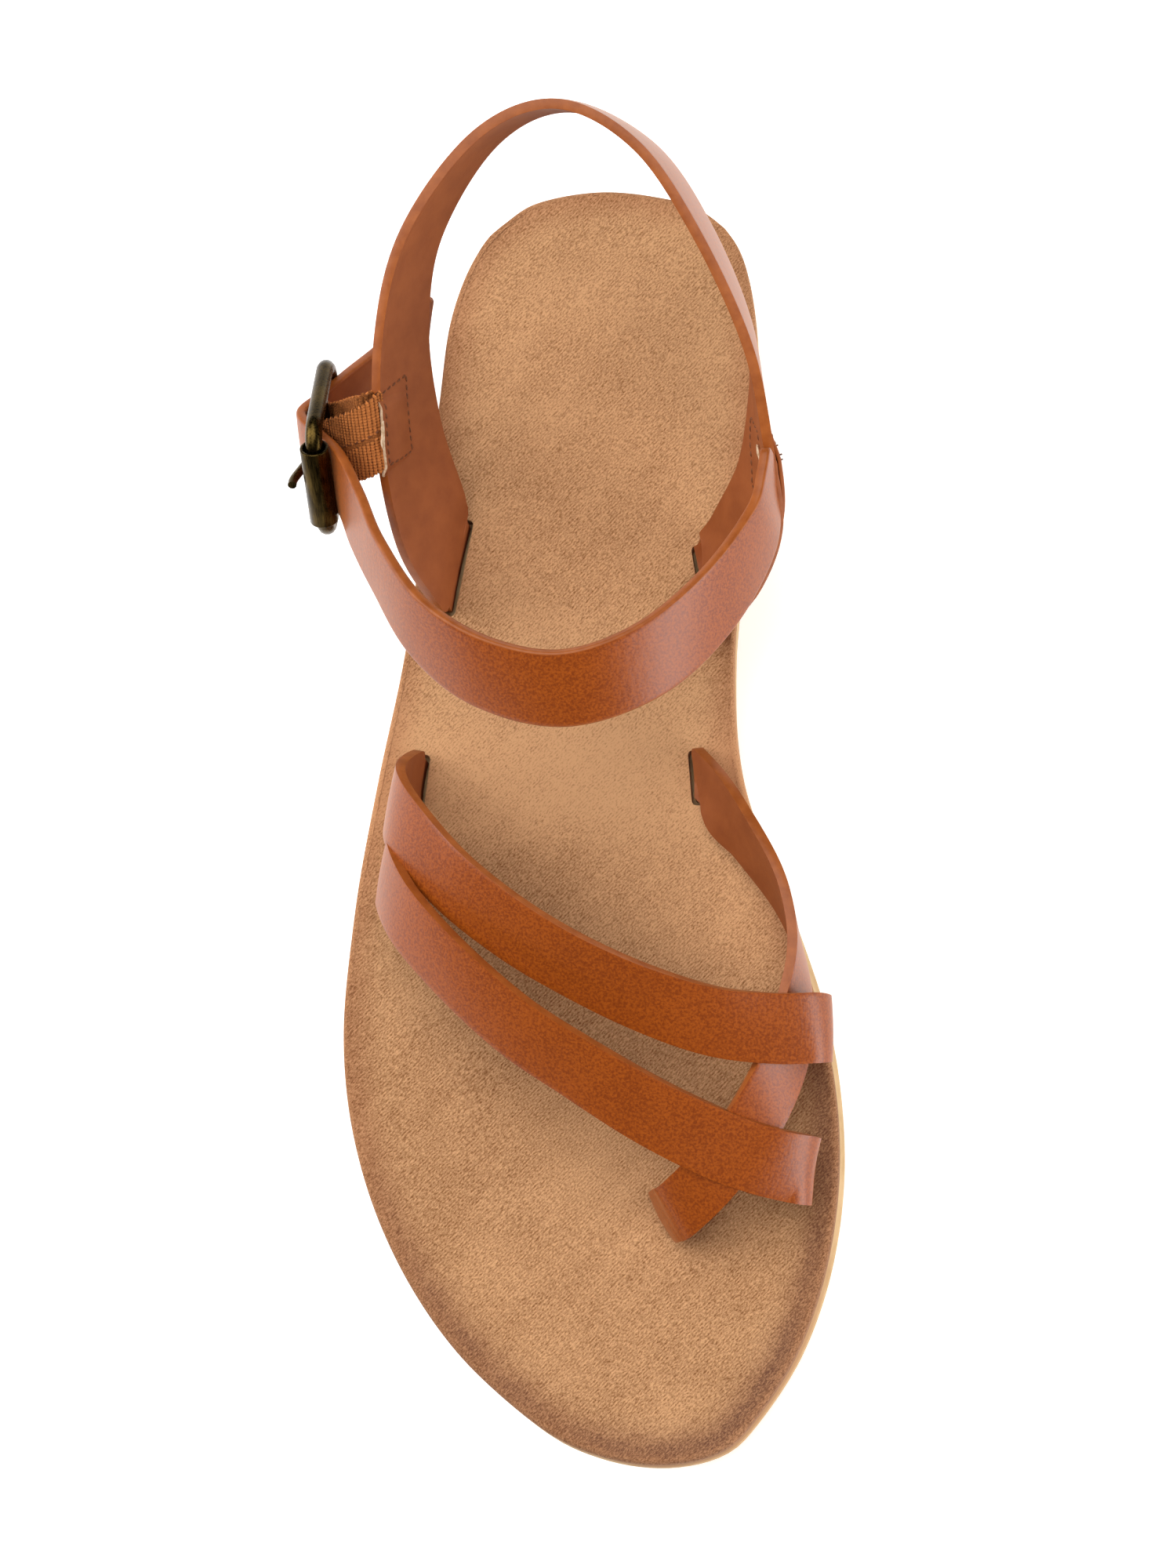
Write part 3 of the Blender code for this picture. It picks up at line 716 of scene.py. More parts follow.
        # Darken a band by the rim, most at the toe: partly burnish, partly painted shade where the rim rolls
        # down
        tenth = add_node(tree, "ShaderNodeMath", {0: ragged, 1: 1 / self.band_mm}, operation="MULTIPLY")
        band = add_node(tree, "ShaderNodeValToRGB", {"Fac": tenth}, greys(self.dusk_band))
        for ramp in (painted_light_ramp, band):
            ramp.color_ramp.interpolation = "EASE"
        aslant = add_node(tree, "ShaderNodeMath", {0: along["X"], 1: self.toe_lean, 2: along["Y"]},
                          operation="MULTIPLY_ADD")
        dim = add_node(tree, "ShaderNodeMapRange",
                       {"Value": aslant, "From Min": self.toe_from, "From Max": self.toe_to,
                        "To Min": self.toe_share, "To Max": self.rest_share},
                       interpolation_type="SMOOTHSTEP")
        patchy, speckle = (
            add_node(tree, "ShaderNodeMapRange",
                     {"Value": noise, "From Min": self.dusk_span[0], "From Max": self.dusk_span[1],
                      "To Min": low, "To Max": high})
            for noise, (low, high) in ((cloud, self.patchy_share), (fleck, self.speckle_share)))
        for share in (patchy, band, speckle):
            dim = add_node(tree, "ShaderNodeMath", {0: dim, 1: share}, operation="MULTIPLY")
        rim_burnish_and_shade = add_node(tree, "ShaderNodeMix",
                         {MIX_FACTOR: dim, MIX_A: blushed, MIX_B: linear(self.dusk)}, data_type="RGBA")
        bump = add_node(tree, "ShaderNodeBump",
                        {"Height": fleck, "Strength": 0.4, "Distance": self.fleck_depth})
        feed(tree, shader, {"Base Color": rim_burnish_and_shade, "Normal": bump})
        return material


@dataclass(frozen=True)
class CreamRubber:
    """Moulded crepe-coloured rubber: pale yellow-tan, dull, finely grained, browner high on the wall round
    the toe.
    """

    name: str = "cream_rubber_wall"
    pale: str = "#CBA878"
    grimy: str = "#B8935F"
    brown_tone: str = "#A57546"
    tone_from: float = 0.3
    tone_to: float = 0.6
    toe_from: float = -0.118
    toe_to: float = -0.07
    wall_from: float = 0.1
    wall_to: float = 0.4
    cloud_mm: float = 7.0
    grain_mm: float = 0.5
    grain_depth: float = 0.0002
    roughness: float = 0.7
    ior: float = 1.52

    def material(self) -> bpy.types.Material:
        """Build the rubber's nodes; the piece's wall attribute is 0 at the tread and 1 at the top."""
        material, tree, shader = new_material(self.name, {"Roughness": self.roughness, "IOR": self.ior})
        place = add_node(tree, "ShaderNodeTexCoord").outputs["Object"]
        cloud = add_node(tree, "ShaderNodeTexNoise",
                         {"Vector": place, "Scale": per_metre(self.cloud_mm), "Detail": 5.0,
                          "Roughness": 0.65})
        clean = add_node(tree, "ShaderNodeValToRGB", {"Fac": cloud},
                         ((self.tone_from, linear(self.grimy)), (self.tone_to, linear(self.pale))))
        along = add_node(tree, "ShaderNodeSeparateXYZ", {0: place})
        # Browner high on the wall round the toe
        toe = add_node(tree, "ShaderNodeMapRange",
                       {"Value": along.outputs["Y"], "From Min": self.toe_from, "From Max": self.toe_to,
                        "To Min": 1.0, "To Max": 0.0}, interpolation_type="SMOOTHSTEP")
        wall = add_node(tree, "ShaderNodeAttribute", attribute_name="wall")
        high = add_node(tree, "ShaderNodeMapRange",
                        {"Value": wall.outputs["Fac"], "From Min": self.wall_from, "From Max": self.wall_to},
                        interpolation_type="SMOOTHSTEP")
        toe_browning = add_node(tree, "ShaderNodeMath", {0: toe, 1: high}, operation="MULTIPLY")
        colour = add_node(tree, "ShaderNodeMix",
                          {MIX_FACTOR: toe_browning, MIX_A: clean, MIX_B: linear(self.brown_tone)}, data_type="RGBA")
        grain = add_node(tree, "ShaderNodeTexNoise",
                         {"Vector": place, "Scale": per_metre(self.grain_mm), "Detail": 3.0})
        bump = add_node(tree, "ShaderNodeBump",
                        {"Height": grain, "Strength": 0.3, "Distance": self.grain_depth})
        feed(tree, shader, {"Base Color": colour, "Normal": bump})
        return material


@dataclass(frozen=True)
class AntiqueBrass:
    """Brass, plated, darkened and brushed along its length: olive-brown, with fine rubbed lines."""

    name: str = "antique_brass_rubbed"
    dark: str = "#1F170A"
    brown_tone: str = "#584621"
    tone_from: float = 0.36
    tone_to: float = 0.66
    cloud_mm: float = 5.0
    brush_mm: float = 0.3
    brush_stretch: float = 9.0
    brush_share: float = 0.5
    brush_depth: float = 0.0001
    smoothest: float = 0.22
    roughest: float = 0.35

    def material(self) -> bpy.types.Material:
        """Build the brass's nodes; the brushing runs along the buckle's bars."""
        material, tree, shader = new_material(self.name, {"Metallic": 1.0})
        place = add_node(tree, "ShaderNodeTexCoord").outputs["Object"]
        lean = add_node(tree, "ShaderNodeMapping",
                        {"Vector": place, "Rotation": (-BAR_LEAN, 0.0, 0.0),
                         "Scale": (1.0, 1.0, self.brush_stretch)}, vector_type="TEXTURE")
        cloud = add_node(tree, "ShaderNodeTexNoise",
                         {"Vector": place, "Scale": per_metre(self.cloud_mm), "Detail": 3.0})
        brush = add_node(tree, "ShaderNodeTexNoise",
                         {"Vector": lean, "Scale": per_metre(self.brush_mm), "Detail": 2.0})
        tone = add_node(tree, "ShaderNodeMix", {"Factor": self.brush_share, "A": brush, "B": cloud})
        colour = add_node(tree, "ShaderNodeValToRGB", {"Fac": tone},
                          ((self.tone_from, linear(self.dark)), (self.tone_to, linear(self.brown_tone))))
        gloss = add_node(tree, "ShaderNodeMapRange",
                         {"Value": brush, **NOISE_FILL, "To Min": self.smoothest,
                          "To Max": self.roughest})
        bump = add_node(tree, "ShaderNodeBump",
                        {"Height": brush, "Strength": 0.06, "Distance": self.brush_depth})
        feed(tree, shader, {"Base Color": colour, "Roughness": gloss, "Normal": bump})
        return material


@dataclass(frozen=True)
class RibbedWebbing:
    """Woven elastic: tan ribs of twisted yarn, dull, with painted shade between the ribs and painted light on
    their crests and beads.
    """

    name: str = "tan_elastic_webbing"
    painted_rib_shade: str = "#2C0D02"
    painted_rib_light: str = "#C2753C"
    yarn_mm: float = 0.4
    yarn_change: float = 0.18
    yarn_depth: float = 0.0002
    roughness: float = 0.85
    specular: float = 0.15

    def material(self) -> bpy.types.Material:
        """Build the webbing's nodes; the piece's painted_rib_light attribute is 1 for painted light on a
        rib's crest and 0 for painted shade between ribs.
        """
        material, tree, shader = new_material(
            self.name, {"Roughness": self.roughness, "Specular IOR Level": self.specular})
        place = add_node(tree, "ShaderNodeTexCoord").outputs["Object"]
        yarn = add_node(tree, "ShaderNodeTexNoise",
                        {"Vector": place, "Scale": per_metre(self.yarn_mm), "Detail": 2.0})
        painted_rib_light = add_node(tree, "ShaderNodeAttribute", attribute_name="painted_rib_light")
        uneven = add_node(tree, "ShaderNodeMapRange",
                          {"Value": yarn, **NOISE_FILL, "To Min": -self.yarn_change,
                           "To Max": self.yarn_change})
        tone = add_node(tree, "ShaderNodeMath", {0: painted_rib_light.outputs["Fac"], 1: uneven},
                        operation="ADD", use_clamp=True)
        colour = add_node(tree, "ShaderNodeMix",
                          {MIX_FACTOR: tone, MIX_A: linear(self.painted_rib_shade), MIX_B: linear(self.painted_rib_light)},
                          data_type="RGBA")
        bump = add_node(tree, "ShaderNodeBump",
                        {"Height": yarn, "Strength": 0.35, "Distance": self.yarn_depth})
        feed(tree, shader, {"Base Color": colour, "Normal": bump})
        return material


@dataclass(frozen=True)
class Palette:
    """All the finishes of the sandal, each made once."""

    face: bpy.types.Material
    lining: bpy.types.Material
    edge: bpy.types.Material
    raw_edge: bpy.types.Material
    backing: bpy.types.Material
    thread: bpy.types.Material
    suede: bpy.types.Material
    rubber: bpy.types.Material
    webbing: bpy.types.Material
    brass: bpy.types.Material

    @classmethod
    def make(cls) -> "Palette":
        """Build every material."""
        return cls(
            face=CognacLeather().material(),
            lining=PlainLeather("brown_leather_lining", "#88461E", "#944F24", 0.6).material(),
            edge=PlainLeather("painted_leather_edge", "#8C4718", "#9E5522", 0.38, 3.0, 0.5, 0.15).material(),
            # Dark raw edge finish, also used as painted shade under the outer ply
            raw_edge=PlainLeather("raw_leather_edge_and_gap_shade", "#3A1A0A", "#5B2E15", 0.9, 0.8, 0.3, 0.6).material(),
            backing=PlainLeather("cream_cloth_backing", "#B8936F", "#DCC4A6", 0.95, 0.9, 0.3, 0.6).material(),
            thread=PlainLeather("brown_waxed_thread", "#562B14", "#784522", 0.6, 0.6, 0.2, 0.4).material(),
            suede=NappedSuede().material(),
            rubber=CreamRubber().material(),
            webbing=RibbedWebbing().material(),
            brass=AntiqueBrass().material(),
        )


# Sole


@dataclass
class SoleOutline:
    """The sole's closed outline, its four sides and its heights, from the table of cross lines."""

    span_steps: int = 12
    corner_rows: tuple[float, float] = (2.6, 13.2)

    def __post_init__(self) -> None:
        """Work out both sides and the arc of each of the outline's four parts."""
        lateral = [(r.lateral, r.y) for r in SOLE]
        medial = [(r.medial, r.y) for r in SOLE]
        self.lateral = self._side(lateral, medial)
        self.medial = self._side(medial, lateral)
        rows = smooth_rows(SOLE, self.span_steps)
        order = sorted(rows, key=lambda row: row.y)
        self.heights = {name: np.array([getattr(r, name) for r in order]) for name in SoleRow._fields}
        heel, toe = (int(row * self.span_steps) for row in self.corner_rows)
        self.arcs = {
            "heel": self.lateral[heel::-1] + self.medial[1:heel + 1],
            "medial": self.medial[heel:toe + 1],
            "toe": self.lateral[toe:] + self.medial[-2:toe - 1:-1],
            "lateral": self.lateral[heel:toe + 1],
        }

    def _side(self, side: list, other: list) -> list[Vector]:
        """Smooth one side, rounding its ends through the opposite side."""
        padded = [other[1], *side, other[-2]]
        points = []
        for index in range(1, len(side)):
            for step in range(self.span_steps):
                points.append(Vector(between(padded, index, step / self.span_steps)))
        points.append(Vector(side[-1]))
        return points

    def height(self, name: str, y: float) -> float:
        """A column of the sole's table at a place along it."""
        return float(np.interp(y, self.heights["y"], self.heights[name]))

    @staticmethod
    def along(arc: Sequence[Vector], share: float) -> Vector:
        """The point at a share of an arc's length."""
        lengths = run_lengths(arc)
        place = share * lengths[-1]
        index = min(int(np.searchsorted(lengths, place, side="right")) - 1, len(arc) - 2)
        rest = (place - lengths[index]) / (lengths[index + 1] - lengths[index])
        return arc[index].lerp(arc[index + 1], float(rest))

    def ring(self) -> np.ndarray:
        """The whole outline as a closed ring of points."""
        points = self.lateral + self.medial[-2:0:-1]
        return np.array([(p.x, p.y) for p in points])

    def patch(self, columns: int, rows: int) -> list[list[Vector]]:
        """Fill the outline with a net of points, square to its four sides.

        Args:
            columns: Spans from the lateral side to the medial side.
            rows: Spans from the heel to the toe.

        Returns:
            Points by column, then by row.
        """
        heel = [self.along(self.arcs["heel"], c / columns) for c in range(columns + 1)]
        toe = [self.along(self.arcs["toe"], c / columns) for c in range(columns + 1)]
        left = [self.along(self.arcs["lateral"], r / rows) for r in range(rows + 1)]
        right = [self.along(self.arcs["medial"], r / rows) for r in range(rows + 1)]
        net = []
        for c in range(columns + 1):
            u = c / columns
            line = []
            for r in range(rows + 1):
                v = r / rows
                ends = heel[c].lerp(toe[c], v)
                sides = left[r].lerp(right[r], u)
                corners = heel[0].lerp(toe[0], v).lerp(heel[-1].lerp(toe[-1], v), u)
                line.append(ends + sides - corners)
            net.append(line)
        return net


@dataclass
class SolePlate:
    """A layer of the sole: a net of points drawn down level by level from its top face."""

    outline: SoleOutline
    columns: int = 76
    rows: int = 210

    def __post_init__(self) -> None:
        """Lay the net and find the outward direction at its rim."""
        self.net = self.outline.patch(self.columns, self.rows)
        last_c, last_r = self.columns, self.rows
        rim = [(c, 0) for c in range(last_c)] + [(last_c, r) for r in range(last_r)]
        rim += [(c, last_r) for c in range(last_c, 0, -1)] + [(0, r) for r in range(last_r, 0, -1)]
        self.outward = {}
        for i, (c, r) in enumerate(rim):
            before, after = rim[i - 1], rim[(i + 1) % len(rim)]
            along = (self.net[after[0]][after[1]] - self.net[before[0]][before[1]]).normalized()
            self.outward[c, r] = Vector((-along.y, along.x))

    def moved(self, c: int, r: int, outwards: float) -> Vector:
        """A point of the net, moved outwards if it is on the rim."""
        return self.net[c][r] + self.outward.get((c, r), Vector((0.0, 0.0))) * outwards

    def draw_down(self, name: str, levels: Sequence[Callable[[int, int], Vector]]) -> bpy.types.Object:
        """Make the top face, then extrude it once for each further level.

        Args:
            name: The piece's name.
            levels: For each level, the place of a point from its column and row in the net.

        Returns:
            The closed plate.
        """
        def start(u: float, v: float) -> Vector:
            """A point of the top face from its two shares of the grid."""
            return levels[0](round(u * self.columns), self.rows - round(v * self.rows))

        plate = shaped_grid(name, self.columns, self.rows, start)
        stride = self.columns + 1
        columns = [i % stride for i in range(len(plate.data.vertices))]
        rows = [self.rows - i // stride for i in range(len(plate.data.vertices))]
        for layer, values in (("column", columns), ("row", rows)):
            plate.data.attributes.new(layer, "INT", "POINT").data.foreach_set("value", values)
        select_only(plate)
        bpy.ops.object.mode_set(mode="EDIT")
        bpy.ops.mesh.select_all(action="SELECT")
        for level in levels[1:]:
            bpy.ops.mesh.extrude_region_move(TRANSFORM_OT_translate={"value": (0.0, 0.0, -MM)})
            bpy.ops.object.mode_set(mode="OBJECT")
            columns, rows = (plate.data.attributes[layer].data for layer in ("column", "row"))
            for vertex in plate.data.vertices:
                if vertex.select:
                    vertex.co = to_world(level(columns[vertex.index].value, rows[vertex.index].value))
            bpy.ops.object.mode_set(mode="EDIT")
        bpy.ops.mesh.select_all(action="SELECT")
        bpy.ops.mesh.normals_make_consistent(inside=False)
        bpy.ops.object.mode_set(mode="OBJECT")
        for layer in ("column", "row"):
            plate.data.attributes.remove(plate.data.attributes[layer])
        return plate


@dataclass
class Footbed(SolePlate):
    """The suede-covered insole: a shallow dish with a rounded rim and a slot for each strap end."""

    thick: float = FOOTBED_THICK
    rim_round: float = 1.2
    rim_steps: int = 5
    lip: float = 0.8
    lip_from: float = -30.0
    lip_run: float = 40.0
    dish: float = 0.7
    slot_dip: float = 0.5
    slot_reach: float = 2.4
    slot_round: float = 1.0
    slot_steps: int = 4
    cutter_height: float = 18.0

    def build(self, palette: Palette) -> bpy.types.Object:
        """Model the footbed, cut its slots and measure its rim.

        Args:
            palette: The finishes.

        Returns:
            The footbed.
        """
        slots = [self._slot(table[end], clear) for table, end, clear in SLOT_ENDS]

        def level(inset: float, drop: float, c: int, r: int) -> Vector:
            """A point of a level that is set in and down from the top face."""
            y = self.net[c][r].y
            point = self.moved(c, r, self.lip * ease((self.lip_from - y) / self.lip_run) - inset)
            top = self.outline.height("top", y)
            share = c / self.columns
            sunk = self.dish * 4 * share * (1 - share) + self._dip(point, slots)
            return Vector((point.x, point.y, top - drop - sunk * (drop < self.rim_round)))

        turns = [math.pi / 2 * step / self.rim_steps for step in range(self.rim_steps + 1)]
        corners = [(self.rim_round * (1 - math.sin(a)), self.rim_round * (1 - math.cos(a))) for a in turns]
        corners.append((0.0, self.thick))
        bed = self.draw_down("suede_footbed", [partial(level, *corner) for corner in corners])
        self._cut(bed, slots)
        self._measure_rim(bed)
        smooth_by_angle(bed, CRISP_ANGLE)
        dress(bed, [palette.suede], Slot.SUEDE, "footbed")
        return bed

    @staticmethod
    def _slot(row: StrapRow, clear: float) -> tuple[Vector, Vector, Vector, Vector]:
        """A slot's middle, its outward and its across direction and its two widths."""
        outward = direction(row.facing, 0)
        size = Vector((STRAP_THICK + 2 * clear, row.width - SLOT_SHORT))
        return Vector((row.x, row.y, row.z)), outward, outward.cross(UP), size

    def _dip(self, point: Vector, slots: Sequence[tuple]) -> float:
        """How far the suede is drawn down beside a slot."""
        depth = 0.0
        for middle, outward, across, size in slots:
            offset = Vector((point.x - middle.x, point.y - middle.y, 0.0))
            beyond = max(abs(offset.dot(across)) - size.y / 2, 0.0)
            away = math.hypot(offset.dot(outward), beyond)
            depth = max(depth, self.slot_dip * math.exp(-(away / self.slot_reach) ** 2))
        return depth

    def _cut(self, bed: bpy.types.Object, slots: Sequence[tuple]) -> None:
        """Cut the slots with one joined cutter."""
        blocks = []
        for middle, outward, _, size in slots:
            bpy.ops.object.select_all(action="DESELECT")
            bpy.ops.mesh.primitive_cube_add(
                size=1.0, location=to_world(middle),
                rotation=(0.0, 0.0, math.atan2(outward.y, outward.x)),
                scale=(size.x * MM, size.y * MM, self.cutter_height * MM))
            bpy.ops.object.transform_apply(location=False, rotation=False, scale=True)
            blocks.append(bpy.context.active_object)
            apply_modifier(blocks[-1], "BEVEL", width=self.slot_round * MM, segments=self.slot_steps)
        cutter = join("slot_cutter", blocks)
        apply_modifier(bed, "BOOLEAN", object=cutter, operation="DIFFERENCE", solver="EXACT")
        bpy.data.objects.remove(cutter, do_unlink=True)

    def _measure_rim(self, bed: bpy.types.Object) -> None:
        """Store each point's distance from the outline, in millimetres, for the rim's burnish and painted
        shade.
        """
        ring = self.outline.ring()
        ahead = np.roll(ring, -1, axis=0) - ring
        squares = (ahead ** 2).sum(axis=1)
        count = len(bed.data.vertices)
        points = np.zeros(count * 3)
        bed.data.vertices.foreach_get("co", points)
        points = points.reshape(-1, 3)[:, :2] / MM - np.array(LAST_SHIFT.xy)
        distance = np.full(count, np.inf)
        for start, step, square in zip(ring, ahead, squares):
            share = np.clip(((points - start) @ step) / square, 0.0, 1.0)
            gap = np.linalg.norm(points - start - share[:, None] * step, axis=1)
            distance = np.minimum(distance, gap)
        layer = bed.data.attributes.new("rim_mm", "FLOAT", "POINT")
        layer.data.foreach_set("value", distance.astype(np.float32))


@dataclass
class Outsole(SolePlate):
    """The moulded rubber unit: heel, raised waist, flat forefoot, toe spring and a flared wall."""

    columns: int = 40
    rows: int = 120
    wall_steps: int = 6
    wall_curve: float = 1.32
    tread_edge: float = 0.9
    tread_steps: int = 3

    def build(self, palette: Palette) -> bpy.types.Object:
        """Model the outsole from its top, down the flared wall and round the tread's edge.

        Args:
            palette: The finishes.

        Returns:
            The outsole.
        """
        def level(spread: float, drop: float, tuck: float, sink: float, c: int, r: int) -> Vector:
            """A point of a level that is a share down the wall, or tucked under at the tread's edge."""
            y = self.net[c][r].y
            top = self.outline.height("top", y) - FOOTBED_THICK - GAP
            foot = max(self.outline.height("bottom", y), 0.0) + self.tread_edge
            point = self.moved(c, r, self.outline.height("flare", y) * spread - tuck)
            return Vector((point.x, point.y, top + (foot - top) * drop - sink))

        shares = [step / self.wall_steps for step in range(self.wall_steps + 1)]
        levels = [(share ** self.wall_curve, share, 0.0, 0.0) for share in shares]
        for step in range(1, self.tread_steps + 1):
            turn = math.pi / 2 * step / self.tread_steps
            tuck, sink = 1 - math.cos(turn), math.sin(turn)
            levels.append((1.0, 1.0, tuck * self.tread_edge, sink * self.tread_edge))
        sole = self.draw_down("rubber_outsole", [partial(level, *row) for row in levels])
        self._measure_wall(sole)
        smooth_by_angle(sole, CRISP_ANGLE)
        dress(sole, [palette.rubber], Slot.RUBBER, "outsole")
        return sole

    def _measure_wall(self, sole: bpy.types.Object) -> None:
        """Store how far up the wall each point is, from 0 at the tread to 1 at the top."""
        shares = []
        for vertex in sole.data.vertices:
            y = vertex.co.y / MM - LAST_SHIFT.y
            foot = self.outline.height("bottom", y)
            top = self.outline.height("top", y) - FOOTBED_THICK - GAP
            shares.append((vertex.co.z / MM - foot) / (top - foot))
        sole.data.attributes.new("wall", "FLOAT", "POINT").data.foreach_set("value", shares)


# Straps


@dataclass
class Strap:
    """A leather strap: an outer face, a lining and painted round edges, along a table of sections."""

    name: str
    table: Sequence[StrapRow]
    rooted: tuple[bool, bool] = (False, False)
    steps: int = 12
    across: int = 14
    thick: float = STRAP_THICK
    edge_round: float = 0.9
    crown: float = 0.22
    root_depth: float = 5.0
    root_rows: float = 1.8
    root_round: float = 1.8
    tip_radius: float = 0.0
    trim: int = 0
    frames: list[Section] = field(default_factory=list)

    def sections(self) -> list[Section]:
        """Work out the strap's sections, standing its rooted ends up in their slots.

        Returns:
            Sections from the strap's first end to its last.
        """
        rows = smooth_rows(self.table, self.steps)
        points = [Vector((r.x, r.y, r.z)) for r in rows]
        last = len(rows) - 1
        frames = []
        for i, row in enumerate(rows):
            tangent = (points[min(i + 1, last)] - points[max(i - 1, 0)]).normalized()
            looks = direction(row.facing, row.lift)
            normal = (looks - tangent * looks.dot(tangent)).normalized()
            frames.append(Section(points[i], normal, normal.cross(tangent), row.width))
        if self.rooted[0]:
            frames = self._root(frames, self.table[0])
        if self.rooted[1]:
            frames = self._root(frames[::-1], self.table[-1])[::-1]
        return frames

    def _root(self, frames: list[Section], row: StrapRow) -> list[Section]:
        """Stand the first sections up in the slot, fanning out from there to the free strap."""
        outward = direction(row.facing, 0)
        level = outward.cross(UP)
        level *= math.copysign(1, level.dot(frames[0].across))
        count = int(self.root_rows * self.steps)
        fan = []
        for i, frame in enumerate(frames[:count]):
            share = i / count
            normal = outward.lerp(frame.normal, share).normalized()
            across = level.lerp(frame.across, share).normalized()
            fan.append(frame._replace(normal=normal, across=across))
        root = fan[0]._replace(centre=fan[0].centre - UP * self.root_depth)
        return [root, *fan, *frames[count:]]

    def sheet(self, frames: Sequence[Section]) -> bpy.types.Object:
        """Shape a grid to the strap's middle surface, crowned across, with its ends' corners rounded."""
        count = len(frames) - 1
        distance = run_lengths([frame.centre for frame in frames])

        def place(u: float, v: float) -> Vector:
            """A point of the strap from its two shares of the grid."""
            index = round(u * count)
            frame = frames[index]
            half = frame.width / 2
            for rooted, run in zip(self.rooted, (distance[index], distance[-1] - distance[index])):
                radius = self.root_round if rooted else self.tip_radius
                short = min(max(radius + self.root_depth * rooted - run, 0.0), radius)
                half -= radius - math.sqrt(radius ** 2 - short ** 2)
            side = 2 * v - 1
            rise = self.crown * (1 - side * side)
            return frame.centre + frame.across * (side * half) + frame.normal * rise

        return shaped_grid(self.name, count, self.across, place)

    def spot(self, row: float, share: float, lift: float) -> tuple[Vector, Vector]:
        """Find a place on the strap.

        Args:
            row: Place along the table, in rows.
            share: Place across the strap, from 0 to 1.
            lift: Height above the middle surface, in millimetres.

        Returns:
            The point and the outward normal there.
        """
        if not self.frames:
            self.frames = self.sections()
        place = row * self.steps + self.rooted[0]
        index = min(int(place), len(self.frames) - 2)
        a, b = self.frames[index], self.frames[index + 1]
        t = place - index
        normal = a.normal.lerp(b.normal, t).normalized()
        side = 2 * share - 1
        reach = (a.width + (b.width - a.width) * t) / 2 * side
        rise = self.crown * (1 - side * side) + lift
        return a.centre.lerp(b.centre, t) + a.across.lerp(b.across, t) * reach + normal * rise, normal

    def build(self, palette: Palette, *nodes: str) -> bpy.types.Object:
        """Model the strap and dress its face, lining and edges.

        Args:
            palette: The finishes.
            nodes: Solids that it stands for.

        Returns:
            The strap.
        """
        obj = self.sheet(self.sections()[self.trim:])
        dress(obj, [palette.face, palette.lining, palette.edge], Slot.LEATHER, *nodes)
        thicken(obj, self.thick, self.edge_round)
        return obj


@dataclass
class LappedPly:
    """One ply of a strap, lapped over what is sewn in beneath: raised at one edge, sunk at the other."""

    name: str
    base: Strap
    rows: tuple[float, float]
    shares: tuple[float, float]
    side: int
    rise: float
    thick: float
    sunk: float = 0.5
    ramp: float = 0.28
    level: float = 0.35
    edge_round: float = 0.15
    columns: int = 48
    across: int = 12

    def lift(self, row: float, share: float) -> float:
        """Height of the ply's middle above the base strap's middle surface."""
        u = (row - self.rows[0]) / (self.rows[1] - self.rows[0])
        v = (share - self.shares[0]) / (self.shares[1] - self.shares[0])
        raised = ease(min(u, 1 - u) / self.ramp) * (1 - ease((v - self.level) / (1 - self.level)))
        return self.side * (self.sunk + (self.rise - self.sunk) * raised)

    def top(self, row: float, share: float) -> tuple[Vector, Vector]:
        """A point on the ply, or on the bare strap where the ply is sunk, and the way it looks."""
        height = max(abs(self.lift(row, share)) + self.thick / 2, STRAP_THICK / 2)
        point, normal = self.base.spot(row, share, self.side * height)
        return point, normal * self.side

    def build(self, materials: Sequence[bpy.types.Material]) -> bpy.types.Object:
        """Model the ply.

        Args:
            materials: Its outer face, its inner face and its edge.

        Returns:
            The ply.
        """
        def place(u: float, v: float) -> Vector:
            """A point of the ply from its two shares of the grid."""
            row = self.rows[0] + (self.rows[1] - self.rows[0]) * u
            share = self.shares[0] + (self.shares[1] - self.shares[0]) * v
            return self.base.spot(row, share, self.lift(row, share))[0]

        ply = shaped_grid(self.name, self.columns, self.across, place)
        dress(ply, materials, Slot.LEATHER)
        thicken(ply, self.thick, self.edge_round)
        return ply


